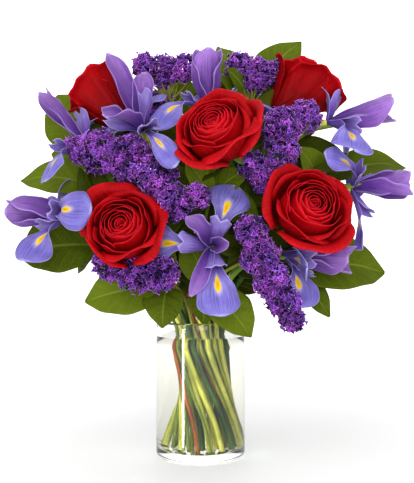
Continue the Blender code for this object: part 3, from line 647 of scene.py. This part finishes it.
SEPAL = stem_material("rose_sepal", "#2E4A14", "#587424", "#5E3A22")
ROSE_STEM = stem_material("rose_stem_skin", "#0A2A10", "#345618", "#5A3218", 0.42)
IRIS_STEM = stem_material("iris_stem_skin", "#868C1C", "#D0CA62", "#5A6E22", 0.4)
STATICE_STEM = stem_material("statice_stem_skin", "#465A10", "#98983A", "#2C4014", 0.6)
SALAL_BARK = stem_material("salal_twig_bark", "#6A2A0C", "#A85A1C", "#3C1A0C", 0.6)
SALAL_GREEN = stem_material("salal_young_twig", "#46561A", "#74822C", "#5A3A1E", 0.6)
GLASS = clear_material("soda_lime_glass_blown", 1.5, "#FBFBF9", 0.55, ripple=0.03)
WATER = clear_material("fresh_water", 1.333, "#F7F6EF", 0.2)


# --- stems ---
def bend_plane(line, back=5):
    """A direction square to the way a stem leans, which its rings are turned by."""
    plane = np.cross((0, 0, 1), line[-1] - line[-back])
    return unit(plane) if np.linalg.norm(plane) > 1e-5 else np.array([1, 0, 0])


def flower_stem(name):
    """A flower's stem: its smooth centre line, radius and ring direction, and its end and axis."""
    raw, radius = stem_line(name)
    line = resampled(raw)
    return line, radius, bend_plane(line, 4), raw[-1], unit(raw[-1] - raw[-2])


def knotted(line, radius, rng, spacing, swell):
    """Radii along a stem: slightly uneven, with a low swelling at each knot."""
    length = even(len(line)) * len(line) * STEP
    knots = np.arange(rng.uniform(0.2, 0.8) * spacing, length[-1], spacing)
    bumps = np.exp(-(((length[:, None] - knots) / (2.6 * MM)) ** 2)).sum(1)
    drift = through(even(7), rng.uniform(-0.05, 0.05, 7), length / length[-1])
    return radius * (1 + drift + swell * bumps)


def lance(line, start, end, reference, width, side, open_angle, rows=16, columns=9):
    """A narrow pointed leaf that clasps a stem: part of a sleeve round it, narrowing to its tip."""
    part = np.linspace(start, end, rows)
    at = through(np.arange(len(line)), line, part)
    tangent = unit(np.gradient(at, axis=0))
    one = unit(np.cross(tangent, reference))
    other = np.cross(tangent, one)
    v, u = places(rows, columns)
    half = width * np.sin(math.pi * np.clip(v * 0.97 + 0.03, 0, 1) ** 0.6) ** 0.8 + 0.15 * MM
    reach = (4.2 + 5 * open_angle * v**2) * MM
    angle = side + np.clip(half / reach, 0, 2.6) * u
    ring = np.cos(angle)[..., None] * one[:, None] + np.sin(angle)[..., None] * other[:, None]
    return sheet(at[:, None] + reach[..., None] * ring)


# --- roses ---
def petal_profile(share, v, rise, flare, opened):
    """Radius and height of a rose petal's middle line, in bloom radii: a cubic Bezier curve.

    The innermost petal (share 0) stands in the heart; the next ones lean over it, each rim further
    out; the outermost (share 1) swells out from the hip and opens at its rim. The more a rose has
    opened, the straighter its outer petals run from the hip to a wide, level rim.
    """
    belly = 0.13 + (0.74 - 0.22 * opened * share) * share**0.72
    top = (0.08 + 0.6 * share + 0.36 * share**4) * flare
    tall = 1.09 + 0.3 * share - (0.44 - 0.2 * opened) * share**2.2 + rise
    points = [
        (0.08 + 0.05 * share, 0.14 - 0.1 * share),
        (belly * (1.15 - 0.55 * opened * share), 0.06 + 0.27 * (1 - share) + 0.2 * opened * share),
        (belly * (1.04 - 0.06 * share**3), tall * 0.74),
        (top, tall),
    ]
    s = 1 - v
    weights = [s**3, 3 * s * s * v, 3 * s * v * v, v**3]
    return [sum(w * p[k] for w, p in zip(weights, points)) for k in (0, 1)]


def rose_petal(share, turn, rng, opened, rows=17, columns=23):
    """One rose petal, in bloom radii: its middle line swept round the axis.

    Its half width is an angle, so that heart petals wrap round each other. It has rounded upper
    corners, a soft point, a rolled, lightly waved rim and low folds along it.
    """
    v, u = places(rows, columns)
    v = v**0.85
    outer = smooth((share - 0.62) / 0.25)
    point = (0.02 + 0.1 * outer * (1 - opened)) * np.exp(-((u / 0.26) ** 2))
    corner = (0.1 + (0.24 - 0.1 * opened) * outer) * np.abs(u) ** (7 - 3.2 * outer)
    rise = rng.normal() * (0.012 + 0.035 * outer)
    flare = 1 + outer * rng.uniform(-0.06, 0.08)
    radius, height = petal_profile(share, v * (1 - corner + point), rise, flare, opened)
    half = (1.1 + 0.5 * (1 - share)) * rng.uniform(0.92, 1.08)
    half = half * (0.35 + 0.65 * smooth(v / 0.55))
    phase = rng.uniform(0, math.tau, 4)
    sides = 0.4 + 0.85 * smooth(np.abs(u) / 0.55) - 0.45 * smooth((np.abs(u) - 0.7) / 0.3)
    roll = smooth((v - 0.8) / 0.2) ** 1.4 * sides
    curl = (0.012 + 0.035 * share + (0.11 - 0.07 * opened) * outer) * rng.uniform(0.6, 1.3)
    ripple = 0.01 * np.sin(5 * u + phase[0]) + (0.006 + 0.012 * opened) * np.sin(15 * u + phase[1])
    ripple = ripple * v**4 * (0.5 + 0.9 * share)
    folds = 0.03 * np.sin(3.6 * u + phase[2]) * v * share**2
    folds = folds + (0.007 + 0.035 * opened * outer) * np.sin(9 * u + phase[3]) * v * share
    radius = radius * (1 + (0.05 + 0.05 * (1 - share)) * u) + curl * roll + ripple + folds
    height = height - curl * roll * (0.25 + 0.75 * outer) * smooth((v - 0.86) / 0.14) + 0.7 * ripple
    angle = turn + half * u
    lean = rng.normal(size=2) * 0.03 * share
    petal = around(radius, angle, height)
    petal[..., :2] += lean * height[..., None]
    return petal


def rose_heart(rng, columns=96, rows=8):
    """The rolled middle of a rose, in bloom radii: one sheet wound into an uneven spiral."""
    s, v = even(columns)[None], even(rows)[:, None]
    angle = 2.4 * math.tau * s + rng.uniform(0, math.tau)
    radius = (0.012 + 0.105 * s) * (0.85 + 0.25 * v**2) * (1 + 0.16 * np.cos(2 * angle))
    height = 0.45 + (0.56 + 0.09 * s + 0.014 * np.sin(3 * angle)) * v
    return around(radius, angle, height)


def rose_sepals(rng, rows=13, columns=5):
    """Five green sepals on the hip: narrowing to a fine tip, bent down and out."""
    made = []
    v, u = places(rows, columns)
    half = 0.15 * (1 - v) ** 0.8 * (1 + 1.2 * v) + 0.006
    for n in range(5):
        bend = rng.uniform(0.6, 1.5)
        out = 0.1 + 0.55 * np.sin(bend * v) / bend * rng.uniform(0.9, 1.3)
        down = 0.04 - 0.3 * (1 - np.cos(bend * 1.3 * v)) + 0.06 * u * u * (1 - v)
        angle = n * math.tau / 5 + rng.uniform(-0.2, 0.2)
        x = out * math.cos(angle) - half * u * math.sin(angle)
        y = out * math.sin(angle) + half * u * math.cos(angle)
        made.append(np.stack([x, y, down], -1))
    return np.array(made)


def rose_leaf(foot, tip, half, upper, rng, tints):
    """A leaf of a rose, coarser than salal's; foot and tip in metres, half width in mm."""
    blade = salal_leaf(foot, tip, half * MM, np.array(upper), rng, 14, 9)
    return sheet(blade, tint=rng.uniform(*tints))


def rose_leaves(number, line, rng):
    """Rose leaves inside the bunch: a leaflet at a stalk's end and two at its sides, and a few
    larger single ones, each on a stalk from the nearest place of the stem."""
    blades, stalks = [], []
    for foot, tip, half, upper in ROSE_LEAVES.get(number, []):
        foot, tip = np.array(foot) * MM, np.array(tip) * MM
        near = line[np.argmin(np.linalg.norm(line - foot, axis=1))]
        stalks.append(near + (foot + (tip - foot) * 0.1 - near) * even(7)[:, None])
        blades.append(rose_leaf(foot, tip, half, upper, rng, (0.2, 1)))
    free = np.flatnonzero((line[:, 2] > 0.19) & (np.arange(len(line)) < len(line) - 6))
    for at in free[np.linspace(0, len(free) - 1, 7).astype(int)]:
        side = rng.choice([-1, 1]) * rng.uniform(0.6, 1)
        out = unit((side, rng.uniform(-0.5, 0.3), rng.uniform(0.1, 0.8)))
        face = np.array([rng.uniform(-0.3, 0.3), -0.9, 0.45])
        across = unit(np.cross(face, out))
        stalks.append(line[at] + out * np.linspace(0, 24, 5)[:, None] * MM)
        for start, spread, length, half in LEAFLETS:
            root = line[at] + out * start * MM
            tip = root + unit(out + across * spread) * length * MM
            blades.append(rose_leaf(root, tip, half, face, rng, (0, 0.8)))
    return blades, stalks


def make_rose(number, opened, scale, shift):
    """A rose: its petals, its sepals and hip, its leaves, and its stem with thorns."""
    rng = np.random.default_rng(ROSE_SEED + number)
    line, radius, reference, foot, axis = flower_stem(f"rose_stem_{number}")
    points, _ = welded(f"rose_bloom_{number}")
    size = ((points - foot) @ axis).max() / ROSE_HEIGHT * scale
    shift = np.array(shift) * MM
    foot = foot + shift
    kept = len(line) - int(max(-shift @ axis, 0) / STEP)
    line = line[:kept]
    line = line + (foot - line[-1]) * smooth(np.linspace(-4, 1, kept))[:, None]
    frame_rows = frame_along(axis, (1, 0.2, 0.3))
    petals, tints = [], []
    first = rng.uniform(0, math.tau)
    for n in range(ROSE_PETALS):
        share = 0.04 + 0.96 * n / (ROSE_PETALS - 1)
        petals.append(rose_petal(share, first + n * GOLDEN, rng, opened))
        tints.append(rng.uniform(0.2, 1))
    stretch = size * frame_rows * np.array([[1], [1], [1 + 0.33 * opened]])
    # The heart's low tint makes it a darker red: painted shade in the middle of the rose.
    heart = sheet(rose_heart(rng) @ stretch + foot, tint=0.25)
    petals = sheet(np.array(petals) @ stretch + foot, tint=tints)
    bloom = [f"rose_bloom_{number}"]
    piece(f"rose_petals_{number}", [petals, heart], [ROSE], bloom, 0.45 * MM)
    sepals = sheet(rose_sepals(rng) @ frame_rows * size + foot)
    piece(f"rose_sepals_{number}", [sepals], [SEPAL], wall=0.7 * MM)
    radii = knotted(line, radius, rng, 46 * MM, 0.16)
    near_top = np.linspace(-len(line) * 4, 0, len(line))
    radii = radii + 2.8 * MM * np.exp(-(((near_top + 2) / 5) ** 2))
    rods = [tube(line, radii, 12, reference)]
    t = even(5)[:, None]
    for at in rng.integers(int(len(line) * 0.42), len(line) - 12, 5):
        out = unit(np.cross(line[at + 1] - line[at - 1], rng.normal(size=3)))
        up = unit(line[at + 1] - line[at - 1])
        path = line[at] + out * (radius * 0.8 + t * 4.2 * MM) - up * (t * t * 1.6 * MM)
        rods.append(tube(path, 1.5 * MM * (1 - t[:, 0]) ** 1.3 + 0.08 * MM, 8, up))
    blades, stalks = rose_leaves(number, line, rng)
    rods += [tube(path, 0.9 * MM, 6, (0, 1, 0)) for path in stalks]
    piece(f"rose_leaves_{number}", blades, [ROSE_LEAF], wall=0.5 * MM)
    stem = [f"rose_stem_{number}"]
    piece(f"rose_stalk_{number}", rods, [ROSE_STEM], stem, weld=True)


# --- irises ---
def iris_blade(rng, axes, size, bend, form, twist=0, notch=0, rows=30, columns=15):
    """An iris petal: a strip along a line whose angle to the bloom's axis turns from first to last.

    The outline gives its half width along it, a cup raises its edges and waves ruffle them. A twist
    turns its cross section about its length more and more towards the tip, and a notch makes the
    sides run on past the middle into two crests.
    """
    length, start, ruffle, outline, cup = form
    steps = 120
    angle = np.radians(bend[0] + (bend[1] - bend[0]) * smooth(even(steps + 1)))
    middle = (angle[1:] + angle[:-1]) / 2
    length = length * MM * size
    out = start[0] * MM + np.concatenate([[0], np.cumsum(np.sin(middle))]) * length / steps
    up = start[1] * MM + np.concatenate([[0], np.cumsum(np.cos(middle))]) * length / steps
    v, u = places(rows, columns)
    reach = np.clip(v * (1 - notch + notch * np.abs(u) ** 0.8), 0, 1) * steps
    x, z, tilt = [np.interp(reach, np.arange(steps + 1), part) for part in (out, up, angle)]
    half = np.maximum(through(*zip(*outline), v[:, 0]), 0.2)[:, None] * MM
    lift = through(*zip(*cup), v[:, 0])[:, None]
    phase = rng.uniform(0, math.tau, 2)
    waves = np.sin(v * rng.uniform(13, 17) + phase[0] + 1.2 * np.sign(u)) * np.abs(u) ** 3
    waves = waves * ruffle * smooth(v * 1.6) * MM
    height = lift * half * u * u + waves - 0.12 * half * np.exp(-((u / 0.16) ** 2))
    across = half * np.sin(u * 1.2) / math.sin(1.2) * (1 - 0.15 * np.abs(lift) * u * u)
    turn = twist * smooth((v - 0.1) / 0.6)
    cos, sin = np.cos(turn), np.sin(turn)
    across, height = across * cos + height * sin, height * cos - across * sin
    x, z = x - np.cos(tilt) * height, z + np.sin(tilt) * height
    return np.stack(np.broadcast_arrays(x, across, z), -1) @ axes


def make_iris(number, size, falls, standards):
    """An iris: three falls with a style arm over each, three standards, its stalk and spathe."""
    rng = np.random.default_rng(IRIS_SEED + number)
    line, radius, reference, foot, axis = flower_stem(f"iris_stem_{number}")
    foot = foot + axis * 0.3 * MM
    petals, arms = ([], []), []
    for n, petal in enumerate(falls + standards):
        upright = n >= len(falls)
        toward, (first, last), (wide, long) = petal[:3], petal[3:5], petal[5:] or (1, 1)
        axes = frame_along(axis, toward)
        kind = STANDARD_FORM if upright else FALL_FORM
        length, start, ruffle, outline, cup, uneven, sway, tints = kind
        outline = [(at, half * wide * size * rng.uniform(*uneven)) for at, half in outline]
        if upright:
            cup = [(at, lift * (2.2 - 1.2 * wide)) for at, lift in cup]
        twist = math.radians(TWISTS.get((number, n), rng.uniform(-sway, sway)))
        form = (length * long, start, ruffle, outline, cup)
        blade = iris_blade(rng, axes, size, (first, last), form, twist)
        petals[upright].append(sheet(blade + foot, tint=rng.uniform(*tints)))
        if not upright:
            length, start, ruffle, outline, cup = ARM_FORM
            form = (length, start, ruffle, [(at, half * size) for at, half in outline], cup)
            bend = max(first - 16, 2) + np.array([0, (last - first) * 0.42])
            arm = iris_blade(rng, axes, size, bend, form, notch=0.16, rows=18, columns=11)
            arms.append(sheet(arm + foot, tint=rng.uniform(0.3, 1)))
    bloom, stem = [f"iris_bloom_{number}"], [f"iris_stem_{number}"]
    piece(f"iris_falls_{number}", petals[0], [FALL], bloom, wall=0.4 * MM)
    piece(f"iris_standards_{number}", petals[1], [STANDARD], wall=0.35 * MM)
    piece(f"iris_style_arms_{number}", arms, [STYLE_ARM], wall=0.5 * MM)
    stalk = tube(line, knotted(line, radius, rng, 70 * MM, 0.07), 12, reference)
    neck = foot + axis * np.linspace(-8, 7, 10)[:, None] * MM
    radii = through([0, 0.3, 0.6, 0.85, 1], [3, 4.4, 3.6, 4, 1.5], even(10)) * MM
    throat = tube(neck, radii, 10, reference)
    piece(f"iris_stalk_{number}", [stalk, throat], [IRIS_STEM], stem, weld=True)
    last = len(line) - 1
    longer = np.vstack([line, line[-1] + axis * np.linspace(4, 28, 7)[:, None] * MM])
    bracts = [
        lance(longer, last - 14, last + 4.5, reference, 8.5 * MM, rng.uniform(0, 3), 0.5),
        lance(longer, last - 16, last + 1, reference, 8 * MM, rng.uniform(3, 6), 0.8),
    ]
    piece(f"iris_spathe_{number}", bracts, [SPATHE], wall=0.5 * MM)


# --- statice ---
def floret(segments=6):
    """A statice floret of length one: a trumpet with a waved rim, closed at foot and throat."""
    rings = [(0, 0, 0), (0.5, 0.62, 0.16), (0.82, 0.84, 0.38), (0, 0.4, 0)]
    radius, height, wave = np.array(rings).T[:, :, None]
    angle = full_turn(segments)
    wave = wave * np.cos(angle * segments / 2)
    return around(radius * (1 + wave), angle, height + 0.4 * wave)


def make_statice(number):
    """A statice head: papery florets packed over the model's head, and the twigs under them."""
    rng = np.random.default_rng(STATICE_SEED + number)
    name = f"statice_{number}"
    raw, radius = stem_line(name)
    reach = raw[-1] + unit(raw[-1] - raw[-2]) * 16 * MM
    mesh = NODES[name].data
    mesh.calc_loop_triangles()
    points = np.array([vert.co for vert in mesh.vertices])
    corners = points[np.array([tri.vertices for tri in mesh.loop_triangles])]
    away = np.linalg.norm(corners.mean(1)[:, None] - resampled(raw, 3 * MM)[None], axis=2).min(1)
    corners = corners[away > radius + 1.5 * MM]
    square = np.cross(corners[:, 1] - corners[:, 0], corners[:, 2] - corners[:, 0])
    area = np.linalg.norm(square, axis=1) / 2
    count = int(area.sum() / FLORET_AREA)
    pick = rng.choice(len(corners), count, p=area / area.sum())
    a, b = np.sqrt(rng.random(count))[:, None], rng.random(count)[:, None]
    seat = corners[pick, 0] * (1 - a) + corners[pick, 1] * a * (1 - b) + corners[pick, 2] * a * b
    lean = unit(unit(square[pick]) + rng.normal(size=(count, 3)) * 0.6 + np.array([0, -0.15, 0.35]))
    waves = rng.normal(size=(5, 3)) * 320
    clump = np.sin(seat @ waves.T + rng.uniform(0, math.tau, 5)).sum(1) / 2.2
    size = rng.uniform(1.9, 4, count)[:, None, None, None] * MM
    fuller = STATICE_FULLER.get(number, 0)
    depth = (rng.uniform(-2.6, 1.6, count) + 2.6 * clump + fuller)[:, None] * MM
    # Some florets are sunk deep in the head and get no tint, so they come out dark: painted shade
    # that fills the gaps between the outer florets.
    inner = rng.random(count) < 0.28
    size[inner], depth[inner] = 5 * MM, rng.uniform(-6, -4, (int(inner.sum()), 1)) * MM
    x = unit(np.cross(lean, rng.normal(size=(count, 3))))
    turn = np.stack([x, np.cross(lean, x), lean], 1)
    seats = (seat + lean * depth)[:, None, None]
    florets = np.einsum("rcj,njk->nrck", floret(), turn) * size + seats
    # The tint is partly random tone and partly painted light and shade: it follows the clump wave, so
    # florets standing out are brighter and those in the hollows between clumps darker.
    tint = np.clip(0.8 * rng.random(count) ** 1.6 + 0.2 + 0.24 * clump, 0, 1)
    florets = sheet(florets, tint=np.where(inner, 0, tint))
    piece(name + "_florets", [florets], [STATICE], [name], weld=True)
    line = resampled(np.vstack([raw, reach]))
    rods = [tube(line, knotted(line, radius, rng, 34 * MM, 0.2), 10, bend_plane(line))]
    t = even(6)[:, None]
    sag = np.array([0, 0, -1]) * (t * (1 - t)) * 6 * MM
    for at in rng.choice(count, min(count, 46), replace=False):
        tip = seat[at] + lean[at] * depth[at]
        path = line[-rng.integers(2, 9)] * (1 - t) + tip * t + sag
        rods.append(tube(path, np.linspace(1, 0.5, 6) * MM, 6, rng.normal(size=3)))
    piece(name + "_twigs", rods, [STATICE_STEM], weld=True)


# --- salal ---
def salal_leaf(foot, tip, half_width, upper, rng, rows=28, columns=17):
    """A salal leaf: an oval with a drawn-out tip on a short stalk, arched and folded at its midrib.

    Its half width is a power of a sine along it, with a fine saw edge; it domes a little between
    the side veins, and its tip turns down.
    """
    length = np.linalg.norm(tip - foot)
    face, across, along = frame_along(tip - foot, upper)
    v, u = places(rows, columns)
    blade = np.clip((v - 0.12) / 0.88, 0, 1)
    half = 1.12 * half_width * np.sin(math.pi * blade**0.78) ** 0.62
    half = np.maximum(half * (1 - 0.3 * smooth((blade - 0.8) / 0.2)), 1 * MM)
    half = half * (1 + 0.02 * np.sin(v * 150) * np.abs(u) ** 8)
    arch = length * 0.1 * np.sin(math.pi * v) - length * 0.05 * smooth((v - 0.7) / 0.3)
    fold = half * rng.uniform(0.1, 0.28) * np.abs(u)
    domes = 0.5 * MM * np.sin((v - 0.3 * np.abs(u) ** 0.7) * 9 * math.pi)
    domes = domes * np.sin(math.pi * np.abs(u))
    twist = rng.uniform(-0.22, 0.22) * v * u * half
    wave = 1.2 * MM * np.sin(v * 9 + rng.uniform(0, 6)) * u * np.abs(u)
    sway = rng.uniform(-0.05, 0.05) * length * v * v
    sides, lift = (half * u + sway)[..., None], (arch + fold + domes + twist + wave)[..., None]
    return foot + along * length * v[..., None] - across * sides + face * lift


def make_salal(number, end, *leaves):
    """A salal sprig: a zigzag woody twig and its leaves."""
    rng = np.random.default_rng(SALAL_SEED + number)
    name = f"salal_{number}"
    end = np.array(end) * MM
    raw, radius = stem_line(name)
    raw = raw[np.linalg.norm(raw - end, axis=1) > 9 * MM]
    line = resampled(np.vstack([raw, end]))
    radii = knotted(line, radius, rng, 30 * MM, 0.22)
    twig = tube(line, radii, 10, bend_plane(line))
    bark = SALAL_BARK if number in BROWN_SALAL else SALAL_GREEN
    piece(name + "_twig", [twig], [bark], [name], weld=True)
    blades = []
    for leaf in leaves:
        blade = salal_leaf(end, np.array(leaf[:3]) * MM, leaf[3] * MM, np.array(leaf[4:]), rng)
        blades.append(sheet(blade, tint=rng.uniform()))
    piece(name + "_leaves", blades, [LEAF_TOP, LEAF_BACK], wall=0.6 * MM, back=True)


# --- vase and water ---
def arc(centre, radius, start, end, steps):
    """Points on a circle's arc, from one angle in degrees to another."""
    angle = np.radians(np.linspace(start, end, steps))
    return np.stack([centre[0] + radius * np.cos(angle), centre[1] + radius * np.sin(angle)], -1)


def make_vase():
    """The glass cylinder: a turned wall with a round rim, a thick floor and a rounded heel."""
    inner = VASE_RADIUS - VASE_WALL
    half = VASE_WALL / 2
    wall = turned(
        [(0, VASE_FLOOR - 0.8), (20, VASE_FLOOR - 0.5)],
        arc((inner - 4, VASE_FLOOR + 4), 4, -90, 0, 9),
        [(inner, z) for z in np.linspace(20, 140, 7)],
        arc((VASE_RADIUS - half, VASE_HEIGHT - half), half, 180, 0, 15),
        [(VASE_RADIUS, z) for z in np.linspace(140, 20, 7)],
        arc((VASE_RADIUS - 6, 6), 6, 0, -90, 11),
        [(20, 0.3), (0, 0.5)],
    )
    piece("vase_glass", [wall], [GLASS], ["vase"], weld=True)


def make_water():
    """The water: its skin lies a hair inside the glass wall, so no air shows between the two."""
    edge = VASE_RADIUS - VASE_WALL + 0.08
    skin = turned(
        [(0, VASE_FLOOR - 0.9), (20, VASE_FLOOR - 0.6)],
        arc((edge - 4, VASE_FLOOR + 3.9), 4, -90, 0, 9),
        [(edge, z) for z in np.linspace(30, WATER_LEVEL - 10, 4)],
        [(out, WATER_LEVEL) for out in (edge, edge - 1.5, 20, 0)],
    )
    piece("vase_water", [skin], [WATER], weld=True)


# --- studio ---
def make_backdrop():
    """A sweep of paper: a floor that turns up behind in a wide arc into a wall."""
    curve = arc((1.6, 1.2), 1.2, -90, 0, 24)
    y, z = np.vstack([[(-4, 0), (0, 0)], curve, [(2.8, 6)]]).T[:, :, None]
    grid = np.stack(np.broadcast_arrays(np.linspace(-5, 5, 9), y, z), -1)
    mesh = bpy.data.meshes.new("backdrop")
    faces = quads(np.arange(grid[..., 0].size).reshape(grid.shape[:2]))
    mesh.from_pydata(grid.reshape(-1, 3).tolist(), [], faces.tolist())
    mesh.polygons.foreach_set("use_smooth", np.ones(len(faces), bool))
    mesh.materials.append(paper_material())
    made = placed("backdrop", mesh)


def area_light(name, place, target, size, power):
    """A softbox (width, height) at a place, turned to a target."""
    data = bpy.data.lights.new(name, "AREA")
    data.shape = "RECTANGLE"
    data.size, data.size_y = size
    data.energy = power
    lamp = placed(name, data)
    z = unit(np.subtract(place, target))
    x = unit(np.cross((0, 0, 1), z))
    rows = np.vstack([np.column_stack([x, np.cross(z, x), z, place]), [0, 0, 0, 1]])
    lamp.matrix_world = Matrix(rows.tolist())
    return lamp


def make_studio():
    """Soft light from above, from the camera and on the backdrop, and a narrow strip beside the
    vase whose mirror image draws a line down the glass; and the camera."""
    world = bpy.data.worlds.new("studio")
    world.use_nodes = True
    sky = world.node_tree.nodes["Background"].inputs
    sky[0].default_value, sky[1].default_value = (1, 1, 1, 1), 0.82
    area_light("softbox_front", (-0.35, -1.4, 1.7), (0, 0, 0.25), (1.2, 0.9), 12.5)
    area_light("softbox_camera", (0.15, -1.9, 0.45), (0, 0, 0.25), (1, 0.8), 18)
    area_light("softbox_backdrop", (0, 1.4, 2.2), (0, 3, 1.2), (2.5, 0.8), 70)
    place, target = (-0.068, -0.096, 0.072), (-0.0185, -0.0465, 0.072)
    strip = area_light("strip_for_the_glass", place, target, (0.0096, 0.144), 0.22)
    strip.visible_camera = strip.visible_diffuse = False
    data = bpy.data.cameras.new("camera")
    data.sensor_width = 36
    data.lens = 60.7
    camera = placed("camera", data)
    camera.location = (0.0073, -0.92, 0.2405)
    camera.rotation_euler = (math.radians(90), 0, 0)
    scene = bpy.context.scene
    scene.world, scene.camera = world, camera
    scene.view_settings.view_transform = "Standard"
    scene.view_settings.look = "None"


# --- the whole ---
make_vase()
make_water()
for n, rose in enumerate(ROSES, 1):
    make_rose(n, *rose)
for n, iris in enumerate(IRISES, 1):
    make_iris(n, *iris)
for n in range(1, STATICE_COUNT + 1):
    make_statice(n)
for n, sprig in enumerate(SALAL, 1):
    make_salal(n, *sprig)
make_backdrop()
make_studio()
